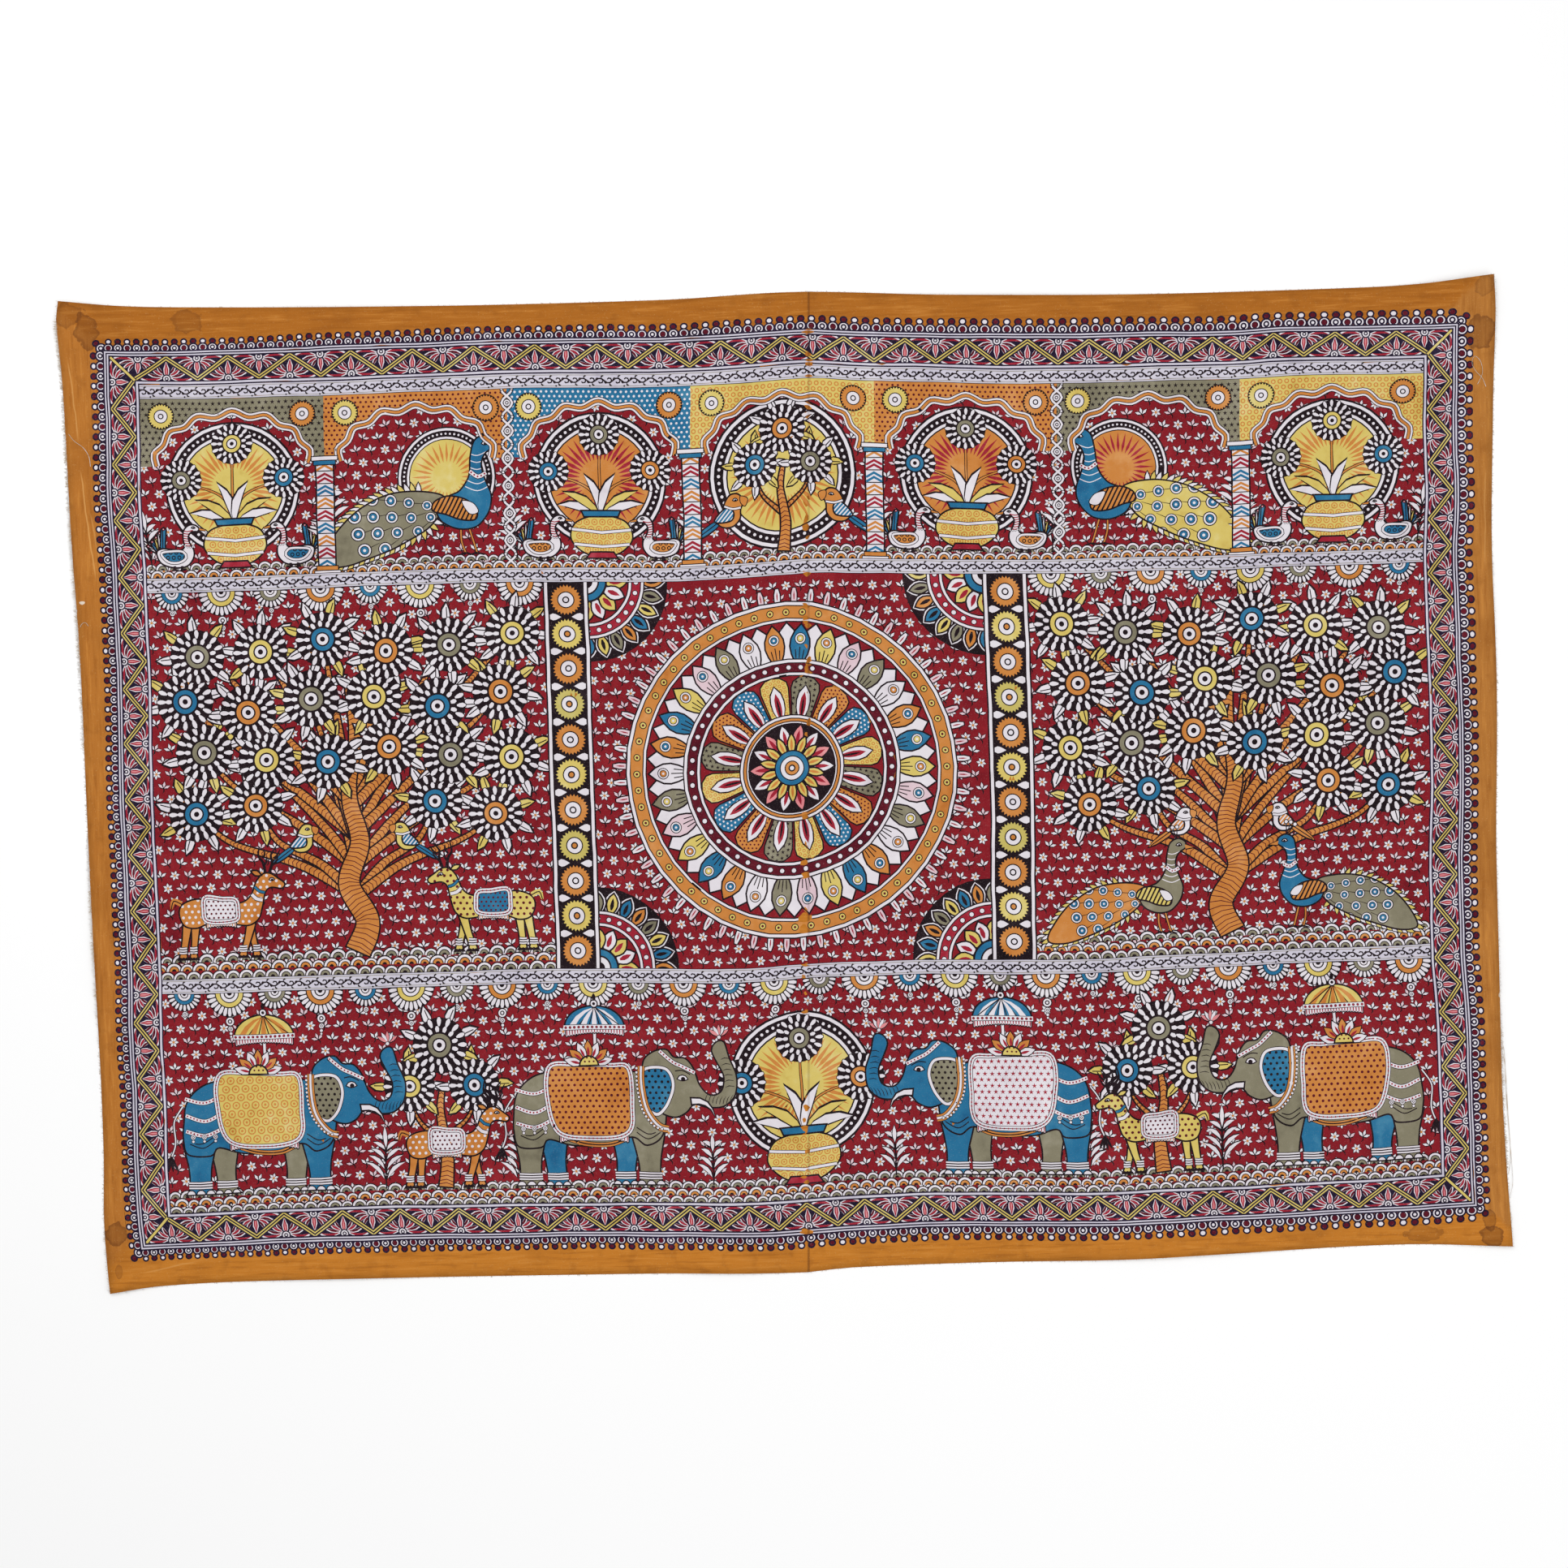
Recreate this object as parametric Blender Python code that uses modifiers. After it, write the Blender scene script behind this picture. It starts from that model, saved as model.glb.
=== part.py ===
"""A painted cotton panel lying face up: one raw-edged sheet of cloth, uneven along its edges.

Metres, +Z up. X runs along the panel's width and +Y towards its top edge. The origin is under
the middle of the sheet's box, on the surface that the cloth lies on.

A place on the sheet is given by two shares: across, from 0 at the left edge to 1 at the right,
and up, from 0 at the bottom edge to 1 at the top.
"""

import math
from collections import namedtuple

import bmesh
import bpy

NAME = "kalamkari_panel"
THICKNESS = 0.0012  # cotton stiffened by its dyes

# The corners of the cloth, which was never quite square.
Corner = namedtuple("Corner", "x y")
BOTTOM_LEFT = Corner(-0.7947, -0.5668)
BOTTOM_RIGHT = Corner(0.8075, -0.5625)
TOP_LEFT = Corner(-0.8183, 0.5676)
TOP_RIGHT = Corner(0.8195, 0.5469)

# How far each edge stands outside (+) the straight line between its corners.
Bow = namedtuple("Bow", "share out")
TOP_EDGE = [
    Bow(0.00, 0.0),
    Bow(0.04, -0.0060),
    Bow(0.10, -0.0092),
    Bow(0.22, -0.0126),
    Bow(0.42, -0.0105),
    Bow(0.515, -0.0042),
    Bow(0.62, -0.0112),
    Bow(0.73, -0.0142),
    Bow(0.88, -0.0120),
    Bow(0.95, -0.0085),
    Bow(1.00, 0.0),
]
BOTTOM_EDGE = [
    Bow(0.00, 0.0),
    Bow(0.035, -0.0063),
    Bow(0.12, -0.0085),
    Bow(0.25, -0.0055),
    Bow(0.40, -0.0010),
    Bow(0.49, 0.0030),
    Bow(0.53, -0.0008),
    Bow(0.62, -0.0015),
    Bow(0.72, 0.0005),
    Bow(0.80, -0.0022),
    Bow(0.92, -0.0058),
    Bow(1.00, 0.0),
]
LEFT_EDGE = [
    Bow(0.00, 0.0),
    Bow(0.07, 0.0035),
    Bow(0.14, 0.0),
    Bow(0.26, -0.0016),
    Bow(0.45, -0.0010),
    Bow(0.66, -0.0024),
    Bow(0.78, 0.0004),
    Bow(0.92, 0.0014),
    Bow(0.98, 0.0034),
    Bow(1.00, 0.0),
]
RIGHT_EDGE = [
    Bow(0.00, 0.0),
    Bow(0.06, -0.0030),
    Bow(0.18, -0.0078),
    Bow(0.40, -0.0086),
    Bow(0.57, -0.0042),
    Bow(0.71, -0.0069),
    Bow(0.86, -0.0020),
    Bow(0.96, 0.0016),
    Bow(1.00, 0.0),
]

# Low waves where an edge of the cloth stands off the surface.
Wave = namedtuple("Wave", "edge share half_length reach height")
WAVES = [
    Wave("top", 0.20, 0.170, 0.090, 0.0034),
    Wave("top", 0.66, 0.210, 0.110, 0.0040),
    Wave("bottom", 0.16, 0.150, 0.080, 0.0030),
    Wave("bottom", 0.44, 0.090, 0.070, 0.0026),
    Wave("bottom", 0.76, 0.190, 0.100, 0.0036),
    Wave("left", 0.34, 0.160, 0.080, 0.0030),
    Wave("left", 0.72, 0.130, 0.070, 0.0024),
    Wave("right", 0.28, 0.180, 0.090, 0.0034),
    Wave("right", 0.66, 0.120, 0.070, 0.0026),
]

# Corners that have curled up. across and up say which corner it is.
Curl = namedtuple("Curl", "across up reach height")
CURLS = [
    Curl(0, 1, 0.110, 0.0048),
    Curl(1, 1, 0.130, 0.0072),
    Curl(0, 0, 0.090, 0.0034),
    Curl(1, 0, 0.100, 0.0042),
]

# The line where the cloth was folded in half for years, as a share across at each end.
FOLD_AT_BOTTOM = 0.498
FOLD_AT_TOP = 0.523
FOLD_HALF_WIDTH = 0.010
FOLD_HEIGHT = 0.0011

# The mesh's columns and rows, as shares, with more beside the fold and the edges.
COLUMNS = 40
ROWS = 28
FOLD_COLUMNS = [-0.0125, -0.0062, -0.0031, 0.0, 0.0031, 0.0062, 0.0125]
EDGE_STEP = 0.010

COTTON_COLOUR = (0.25, 0.035, 0.03, 1.0)
COTTON_ROUGHNESS = 0.92


def clear_scene():
    for thing in list(bpy.data.objects):
        bpy.data.objects.remove(thing, do_unlink=True)


def bow_at(rows, share):
    """The bow at a share along an edge, on a smooth curve through the rows."""
    last = len(rows) - 1
    k = max(i for i in range(last) if rows[i].share <= share or i == 0)

    def slope(i):
        before, after = rows[max(i - 1, 0)], rows[min(i + 1, last)]
        return (after.out - before.out) / (after.share - before.share)

    a, b = rows[k], rows[k + 1]
    span = b.share - a.share
    t = (share - a.share) / span
    ease = t * t * (3 - 2 * t)
    lead_in = t * (1 - t) ** 2 * span * slope(k)
    lead_out = t * t * (t - 1) * span * slope(k + 1)
    return a.out + (b.out - a.out) * ease + lead_in + lead_out


def edge_point(start, end, rows, share, outward):
    """The point at a share along a bowed edge. outward is 1 if outside lies to the left of start to end."""
    run_x, run_y = end.x - start.x, end.y - start.y
    length = math.hypot(run_x, run_y)
    out = bow_at(rows, share) * outward / length
    return (start.x + run_x * share - run_y * out, start.y + run_y * share + run_x * out)


def sheet_point(across, up):
    """The place on the surface under a point of the sheet, from its four bowed edges."""
    bottom = edge_point(BOTTOM_LEFT, BOTTOM_RIGHT, BOTTOM_EDGE, across, -1)
    top = edge_point(TOP_LEFT, TOP_RIGHT, TOP_EDGE, across, 1)
    left = edge_point(BOTTOM_LEFT, TOP_LEFT, LEFT_EDGE, up, 1)
    right = edge_point(BOTTOM_RIGHT, TOP_RIGHT, RIGHT_EDGE, up, -1)
    point = []
    for axis in (0, 1):
        low = (1 - across) * BOTTOM_LEFT[axis] + across * BOTTOM_RIGHT[axis]
        high = (1 - across) * TOP_LEFT[axis] + across * TOP_RIGHT[axis]
        from_sides = (1 - across) * left[axis] + across * right[axis]
        from_bows = (1 - up) * (bottom[axis] - low) + up * (top[axis] - high)
        point.append(from_sides + from_bows)
    return point


def fade(share):
    """From 1 at 0 smoothly down to 0 at 1 and beyond."""
    share = min(max(share, 0.0), 1.0)
    return 1 - share * share * (3 - 2 * share)


def fold_at(up):
    return FOLD_AT_BOTTOM + (FOLD_AT_TOP - FOLD_AT_BOTTOM) * up


WIDTH = (BOTTOM_RIGHT.x - BOTTOM_LEFT.x + TOP_RIGHT.x - TOP_LEFT.x) / 2
HEIGHT = (TOP_LEFT.y - BOTTOM_LEFT.y + TOP_RIGHT.y - BOTTOM_RIGHT.y) / 2


def wave_height(wave, across, up):
    along, length = (across, WIDTH) if wave.edge in ("top", "bottom") else (up, HEIGHT)
    inward = {
        "top": (1 - up) * HEIGHT,
        "bottom": up * HEIGHT,
        "left": across * WIDTH,
        "right": (1 - across) * WIDTH,
    }[wave.edge]
    return wave.height * fade(abs(along - wave.share) * length / wave.half_length) * fade(inward / wave.reach)


def curl_height(curl, across, up):
    away = abs(across - curl.across) * WIDTH + abs(up - curl.up) * HEIGHT
    return curl.height * fade(away / curl.reach)


def lift(across, up):
    """How far the cloth's underside stands off the surface."""
    waves = sum(wave_height(wave, across, up) for wave in WAVES)
    curls = sum(curl_height(curl, across, up) for curl in CURLS)
    ridge = FOLD_HEIGHT * fade(abs(across - fold_at(up)) * WIDTH / FOLD_HALF_WIDTH)
    return waves + curls + ridge


def column_shares():
    """The columns' shares across, for a fold at the middle."""
    clear = FOLD_COLUMNS[-1] + EDGE_STEP / 2
    even = [i / COLUMNS for i in range(COLUMNS + 1)]
    shares = [share for share in even if abs(share - 0.5) > clear]
    shares += [0.5 + step for step in FOLD_COLUMNS]
    return sorted(shares + [EDGE_STEP, 1 - EDGE_STEP])


def row_shares():
    return sorted([i / ROWS for i in range(ROWS + 1)] + [EDGE_STEP, 1 - EDGE_STEP])


def follow_fold(across, up):
    """Moves a column sideways so that the middle one runs along the fold."""
    return across + (fold_at(up) - 0.5) * (1 - abs(2 * across - 1))


def cotton():
    material = bpy.data.materials.new("dyed_cotton")
    material.use_nodes = True
    shader = material.node_tree.nodes["Principled BSDF"]
    shader.inputs["Base Color"].default_value = COTTON_COLOUR
    shader.inputs["Roughness"].default_value = COTTON_ROUGHNESS
    shader.inputs["Metallic"].default_value = 0.0
    return material


def make_cloth(collection):
    """The sheet's underside as a shaped grid, thickened upwards."""
    columns, rows = column_shares(), row_shares()
    grid = bmesh.new()
    bmesh.ops.create_grid(grid, x_segments=len(columns) - 1, y_segments=len(rows) - 1, size=1.0)
    for vertex in grid.verts:
        column = round((vertex.co.x + 1) / 2 * (len(columns) - 1))
        row = round((vertex.co.y + 1) / 2 * (len(rows) - 1))
        up = rows[row]
        across = follow_fold(columns[column], up)
        x, y = sheet_point(across, up)
        vertex.co = (x, y, lift(across, up))
    mesh = bpy.data.meshes.new("cloth")
    grid.to_mesh(mesh)
    grid.free()
    mesh.materials.append(cotton())
    cloth = bpy.data.objects.new("cloth", mesh)
    collection.objects.link(cloth)
    thicken = cloth.modifiers.new("thickness", "SOLIDIFY")
    thicken.thickness = THICKNESS
    thicken.offset = 1.0
    return cloth


def main():
    clear_scene()
    collection = bpy.data.collections.new(NAME)
    bpy.context.scene.collection.children.link(collection)
    make_cloth(collection)


main()
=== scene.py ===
"""A painted and dyed cotton panel, laid flat: a raw-edged cloth with an ochre margin, a lotus
border, a red ground with drawn panels, and white strips between them.

The drawing is made in picture space: millimetres from the middle of the border, x to the right
and y up, as complex numbers. Each shape is drawn over those before it, and the cloth's face is
cut into triangles along their outlines. Each dye is a material of its own.
"""

import math
import random
from collections import namedtuple

import bpy
import numpy as np
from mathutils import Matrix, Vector
from mathutils.bvhtree import BVHTree
from mathutils.geometry import delaunay_2d_cdt


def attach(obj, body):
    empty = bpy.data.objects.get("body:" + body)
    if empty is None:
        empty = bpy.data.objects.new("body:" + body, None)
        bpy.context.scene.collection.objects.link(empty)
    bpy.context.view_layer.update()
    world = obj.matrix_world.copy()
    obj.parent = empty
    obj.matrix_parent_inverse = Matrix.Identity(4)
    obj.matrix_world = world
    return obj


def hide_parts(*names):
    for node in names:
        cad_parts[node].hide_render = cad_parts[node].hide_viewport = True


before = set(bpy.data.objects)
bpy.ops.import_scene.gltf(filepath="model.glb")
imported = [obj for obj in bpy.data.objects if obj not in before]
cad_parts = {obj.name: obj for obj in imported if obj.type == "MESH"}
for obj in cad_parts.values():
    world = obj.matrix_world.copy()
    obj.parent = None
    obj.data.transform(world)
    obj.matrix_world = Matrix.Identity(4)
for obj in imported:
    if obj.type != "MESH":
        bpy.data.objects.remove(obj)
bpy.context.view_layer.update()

# The cloth's shape, in metres

THICKNESS = 0.0006
FOOT = 0.0001  # from what the cloth lies on to its underside
DYE_LAYER = 0.00015  # from the cloth's face to the drawing on it
BOTTOM_LEFT, BOTTOM_RIGHT = -0.7947 - 0.5668j, 0.8075 - 0.5625j
TOP_LEFT, TOP_RIGHT = -0.8183 + 0.5676j, 0.8195 + 0.5469j
WIDTH = (BOTTOM_RIGHT.real - BOTTOM_LEFT.real + TOP_RIGHT.real - TOP_LEFT.real) / 2
HEIGHT = (TOP_LEFT.imag - BOTTOM_LEFT.imag + TOP_RIGHT.imag - BOTTOM_RIGHT.imag) / 2

# (share along the edge, distance outside the straight line between its corners)
TOP_EDGE = (
    (0.00, 0.0), (0.04, -0.0060), (0.10, -0.0092), (0.22, -0.0126), (0.42, -0.0105), (0.515, -0.0042),
    (0.62, -0.0112), (0.73, -0.0142), (0.88, -0.0120), (0.95, -0.0085), (1.00, 0.0),
)
BOTTOM_EDGE = (
    (0.00, 0.0), (0.035, -0.0063), (0.12, -0.0085), (0.25, -0.0055), (0.40, -0.0010), (0.49, 0.0030),
    (0.53, -0.0008), (0.62, -0.0015), (0.72, 0.0005), (0.80, -0.0022), (0.92, -0.0058), (1.00, 0.0),
)
LEFT_EDGE = (
    (0.00, 0.0), (0.07, 0.0035), (0.14, 0.0), (0.26, -0.0016), (0.45, -0.0010), (0.66, -0.0024),
    (0.78, 0.0004), (0.92, 0.0014), (0.98, 0.0034), (1.00, 0.0),
)
RIGHT_EDGE = (
    (0.00, 0.0), (0.06, -0.0030), (0.18, -0.0078), (0.40, -0.0086), (0.57, -0.0042), (0.71, -0.0069),
    (0.86, -0.0020), (0.96, 0.0016), (1.00, 0.0),
)

Wave = namedtuple("Wave", "edge share half_length reach height")
WAVES = (
    Wave("top", 0.20, 0.170, 0.090, 0.0034),
    Wave("top", 0.66, 0.210, 0.110, 0.0040),
    Wave("bottom", 0.16, 0.150, 0.080, 0.0030),
    Wave("bottom", 0.44, 0.090, 0.070, 0.0026),
    Wave("bottom", 0.76, 0.190, 0.100, 0.0036),
    Wave("left", 0.34, 0.160, 0.080, 0.0030),
    Wave("left", 0.72, 0.130, 0.070, 0.0024),
    Wave("right", 0.28, 0.180, 0.090, 0.0034),
    Wave("right", 0.66, 0.120, 0.070, 0.0026),
)
Curl = namedtuple("Curl", "across up reach height")
CURLS = (
    Curl(0, 1, 0.110, 0.0048),
    Curl(1, 1, 0.130, 0.0072),
    Curl(0, 0, 0.090, 0.0034),
    Curl(1, 0, 0.100, 0.0042),
)
FOLD_AT_BOTTOM, FOLD_AT_TOP = 0.498, 0.523  # shares across
FOLD_HALF_WIDTH, FOLD_HEIGHT = 0.010, 0.0011


def bow_at(rows, share):
    """The bow at shares along an edge, on a smooth curve through the rows."""
    shares, outs = np.array(rows).T
    last = len(rows) - 1
    index = np.arange(last + 1)
    before, after = np.maximum(index - 1, 0), np.minimum(index + 1, last)
    slopes = (outs[after] - outs[before]) / (shares[after] - shares[before])
    k = np.clip(np.searchsorted(shares, share, side="right") - 1, 0, last - 1)
    span = shares[k + 1] - shares[k]
    t = (share - shares[k]) / span
    ease = t * t * (3 - 2 * t)
    lead_in = t * (1 - t) ** 2 * span * slopes[k]
    lead_out = t * t * (t - 1) * span * slopes[k + 1]
    return outs[k] + (outs[k + 1] - outs[k]) * ease + lead_in + lead_out


def edge_point(start, end, rows, share, outward):
    """Places along a bowed edge. outward is 1 if outside lies to the left of start to end."""
    run = end - start
    return start + run * share + 1j * run / abs(run) * outward * bow_at(rows, share)


Patch = namedtuple("Patch",
                   "bottom_left bottom_right top_left top_right bottom_edge top_edge left_edge right_edge")
SHEET = Patch(BOTTOM_LEFT, BOTTOM_RIGHT, TOP_LEFT, TOP_RIGHT, BOTTOM_EDGE, TOP_EDGE, LEFT_EDGE, RIGHT_EDGE)


def patch_point(patch, across, up):
    """Places inside four bowed edges, as complex numbers in metres."""
    bottom = edge_point(patch.bottom_left, patch.bottom_right, patch.bottom_edge, across, -1)
    top = edge_point(patch.top_left, patch.top_right, patch.top_edge, across, 1)
    left = edge_point(patch.bottom_left, patch.top_left, patch.left_edge, up, 1)
    right = edge_point(patch.bottom_right, patch.top_right, patch.right_edge, up, -1)
    low = (1 - across) * patch.bottom_left + across * patch.bottom_right
    high = (1 - across) * patch.top_left + across * patch.top_right
    return (1 - across) * left + across * right + (1 - up) * (bottom - low) + up * (top - high)


def sheet_point(across, up):
    """The places on the surface under points of the sheet."""
    return patch_point(SHEET, across, up)


def fade(share):
    """From 1 at 0 smoothly down to 0 at 1 and beyond."""
    share = np.clip(share, 0.0, 1.0)
    return 1 - share * share * (3 - 2 * share)


def fold_at(up):
    return FOLD_AT_BOTTOM + (FOLD_AT_TOP - FOLD_AT_BOTTOM) * up


def lift(across, up):
    """How far the cloth's underside stands off the surface: waves, curled corners and the fold."""
    inward = {"top": (1 - up) * HEIGHT, "bottom": up * HEIGHT, "left": across * WIDTH,
              "right": (1 - across) * WIDTH}
    height = FOLD_HEIGHT * fade(np.abs(across - fold_at(up)) * WIDTH / FOLD_HALF_WIDTH)
    for wave in WAVES:
        along, length = (across, WIDTH) if wave.edge in ("top", "bottom") else (up, HEIGHT)
        beside = fade(np.abs(along - wave.share) * length / wave.half_length)
        height = height + wave.height * beside * fade(inward[wave.edge] / wave.reach)
    for curl in CURLS:
        away = np.abs(across - curl.across) * WIDTH + np.abs(up - curl.up) * HEIGHT
        height = height + curl.height * fade(away / curl.reach)
    return height


def shares_at(places):
    """The shares (across, up) of the sheet's points that lie at these places."""
    across, up = places.real / WIDTH + 0.5, places.imag / HEIGHT + 0.5
    for _ in range(8):
        miss = places - sheet_point(across, up)
        across, up = across + miss.real / WIDTH, up + miss.imag / HEIGHT
    return across, up


# Drawing

Shape = namedtuple("Shape", "points dye within")
LINE = 1.9  # an outline's usual width
FINE = 1.2  # a thin line's


def turned(degrees):
    return complex(math.cos(math.radians(degrees)), math.sin(math.radians(degrees)))


def area(points):
    after = np.roll(points, -1)
    return float((points.real * after.imag - after.real * points.imag).sum() / 2)


def grow(points, by):
    """A closed anticlockwise outline moved outwards, with its sharp corners kept short."""
    ahead = np.roll(points, -1) - points
    ahead = ahead / np.maximum(np.abs(ahead), 1e-9)
    both = ahead + np.roll(ahead, 1)
    size = np.maximum(np.abs(both), 1e-6)
    return points + by * -1j * both / size * np.minimum(2 / size, 2.0)


def inside(outline, places):
    """Which of the places lie inside a closed outline."""
    a, b = outline[None, :], np.roll(outline, -1)[None, :]
    p = places[:, None]
    crosses = (a.imag > p.imag) != (b.imag > p.imag)
    rise = np.where(crosses, b.imag - a.imag, 1.0)
    at = a.real + (p.imag - a.imag) * (b.real - a.real) / rise
    return (crosses & (p.real < at)).sum(1) % 2 == 1


def smooth(points, step=3.0, closed=True):
    """A Catmull-Rom curve through the points, with about a point every step."""
    points = np.asarray(points, complex)
    count = len(points)
    curve = []
    for i in range(count if closed else count - 1):
        if closed:
            p0, p1, p2, p3 = (points[(i + k) % count] for k in (-1, 0, 1, 2))
        else:
            p0, p1, p2, p3 = (points[min(max(i + k, 0), count - 1)] for k in (-1, 0, 1, 2))
        pieces = max(1, round(abs(p2 - p1) / step))
        t = np.arange(pieces) / pieces
        curve.append(
            p1
            + 0.5 * t * (p2 - p0)
            + t**2 * (p0 - 2.5 * p1 + 2 * p2 - 0.5 * p3)
            + 0.5 * t**3 * (3 * (p1 - p2) + p3 - p0)
        )
    if not closed:
        curve.append(points[-1:])
    return np.concatenate(curve)


def circle(middle, radius, count, first=0.0, last=360.0):
    """Points round a circle, or along an arc of it with both ends."""
    whole = last - first >= 360
    angles = np.radians(np.linspace(first, last, count, endpoint=not whole))
    return middle + radius * np.exp(1j * angles)


def lens(start, end, width, bend=0.0, widths=(0, 0.7, 1, 0.7, 0)):
    """A petal or leaf. widths are its relative widths at even steps, and bend bows it to the left."""
    t = np.linspace(0, 1, len(widths))
    run = end - start
    middle = start + run * t + 1j * run * bend * 4 * t * (1 - t)
    ahead = run * (1 + 1j * bend * 4 * (1 - 2 * t))
    out = 1j * ahead / np.abs(ahead) * np.asarray(widths) * width / 2
    left, right = middle + out, middle - out
    skip_first, skip_last = int(widths[0] == 0), len(t) - int(widths[-1] == 0)
    return np.concatenate([right, left[skip_first:skip_last][::-1]])


class Pen:
    """Draws in millimetres of picture space, at one place, size and turn."""

    def __init__(self, shapes, place=0j, size=1 + 0j, mirrored=False, within=None):
        self.shapes = shapes
        self.place = place
        self.size = size
        self.mirrored = mirrored
        self.within = within

    def to_picture(self, points):
        points = np.asarray(points, complex)
        return self.place + self.size * (-points.conj() if self.mirrored else points)

    def at(self, place, size=1.0, turn=0.0, mirrored=False, within=None):
        """A pen for a motif of its own, placed in this one's motif."""
        own = size * turned(turn)
        return Pen(
            self.shapes,
            complex(self.to_picture(place)),
            self.size * (own.conjugate() if self.mirrored else own),
            self.mirrored != mirrored,
            self.within if within is None else within,
        )

    def keep(self, placed, dye):
        if area(placed) < 0:
            placed = placed[::-1]
        self.shapes.append(Shape(placed, dye, self.within))
        return len(self.shapes) - 1

    def fill(self, points, dye):
        return self.keep(self.to_picture(points), dye)

    def outlined(self, points, dye, line=LINE, ink="line"):
        """A filled shape with a drawn outline. The number of its fill is returned."""
        placed = self.to_picture(points)
        if area(placed) < 0:
            placed = placed[::-1]
        self.keep(grow(placed, line / 2), ink)
        return self.keep(grow(placed, -line / 2), dye)

    def curve(self, points, closed=True, step=3.0):
        return smooth(points, step / abs(self.size), closed)

    def blob(self, points, dye, line=LINE, step=3.0):
        return self.outlined(self.curve(points, step=step), dye, line)

    def count_round(self, radius, share=1.0):
        """How many points a circle of this radius needs."""
        return max(4, round(share * min(6 + 1.6 * radius * abs(self.size), 40)))

    def disc(self, middle, radius, dye):
        return self.fill(circle(middle, radius, self.count_round(radius)), dye)

    def rings(self, middle, radius, *shares_and_dyes):
        """Discs on each other, from (share of the radius, dye) pairs. The last one's number is returned."""
        for share, dye in shares_and_dyes:
            number = self.disc(middle, radius * share, dye)
        return number

    def stroke(self, points, width=LINE, dye="line", closed=False):
        """A line of even width, as one four-sided shape for each step."""
        placed = self.to_picture(points)
        if closed:
            placed = np.append(placed, placed[0])
        steps = np.diff(placed)
        steps = steps / np.maximum(np.abs(steps), 1e-9)
        before = np.append(steps[-1] if closed else steps[0], steps)
        after = np.append(steps, steps[0] if closed else steps[-1])
        both = before + after
        size = np.maximum(np.abs(both), 0.8)
        out = 1j * both / size**2 * width
        left, right = placed + out, placed - out
        for k in range(len(placed) - 1):
            self.keep(np.array([right[k], right[k + 1], left[k + 1], left[k]]), dye)

    def line(self, points, width=LINE, dye="line", closed=False, step=3.0):
        self.stroke(self.curve(points, closed, step), width, dye, closed)

    def brush(self, points, width=1.6, dye="line", widths=(0.2, 1, 1, 0.2), step=3.0):
        """A tapered stroke along a smooth curve through the points."""
        placed = smooth(self.to_picture(points), step, closed=False)
        ahead = np.gradient(placed)
        ahead = ahead / np.maximum(np.abs(ahead), 1e-9)
        share = np.linspace(0, 1, len(placed))
        wide = np.interp(share, np.linspace(0, 1, len(widths)), widths) * width / 2
        self.keep(np.concatenate([placed - 1j * ahead * wide, (placed + 1j * ahead * wide)[::-1]]), dye)

    def inside_of(self, number):
        """A pen in picture space whose shapes show only inside a shape that is already drawn."""
        return Pen(self.shapes, within=number)


# Border

PICTURE = complex(1530, 1012)  # the outer edge of the double white line
HALF = PICTURE / 2
# (side, start and end pitch of its scallops, pitch of its lotuses), each side from its own left to right as
# seen from the picture's middle
Side = namedtuple("Side", "first last lotus")
SIDES = (Side(10.6, 13.4, 70), Side(13.2, 9.8, 66), Side(10.4, 11.6, 63), Side(13.8, 11.8, 61))
DOUBLE_LINE = 5.8
BAND = 29.4  # the lotus band
INNER_LINE = 3.2
FIELD = HALF - (DOUBLE_LINE + BAND + INNER_LINE) * (1 + 1j)
POINT_EVERY = 25  # along a straight line, so that it can follow the cloth
SCALLOP_PITCH = 12.0  # the pitch at which a scallop has the size drawn here
SCALLOP_LINE = 1.8
PETALS = 4  # of a half lotus, on each side of its bud
PETAL_WIDTH = 3.8
PETAL_CORE_WIDTH = 2.6
PETAL_BEND = 0.10
BUD_WIDTHS = (0.3, 0.9, 1, 0.5, 0)
# (width, dye) of the strokes that lie on each other
ZIGZAG = ((7.2, "indigo"), (4.2, "yellow"), (1.5, "indigo"))
MITRE = ((4.6, "indigo"), (2.6, "yellow"))
ZIGZAG_INSET = 2.6  # of its points from the edges of the band
# (depth inside the outer edge, width, dye) of the lines all round
INNER_DEPTH = DOUBLE_LINE + BAND + INNER_LINE / 2
FRAME_LINES = (
    (2.9, 8.0, "indigo"),
    (1.4, 1.6, "lilac"),
    (4.4, 1.5, "lilac"),
    (INNER_DEPTH, INNER_LINE + 2.0, "indigo"),
    (INNER_DEPTH, INNER_LINE - 0.9, "lilac"),
)


def long_line(pen, start, end, width, dye):
    """A straight band with points along it, so that it can follow the cloth."""
    count = max(2, round(abs(end - start) / POINT_EVERY) + 1)
    pen.stroke(np.linspace(start, end, count), width, dye)


def side_pens(pen):
    """A pen at the middle of each side of the picture, with its x along the side and y outwards."""
    return [
        (pen.at(1j * HALF.imag), HALF.real),
        (pen.at(-1j * HALF.imag, turn=180), HALF.real),
        (pen.at(-HALF.real, turn=90), HALF.imag),
        (pen.at(HALF.real, turn=-90), HALF.imag),
    ]


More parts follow.
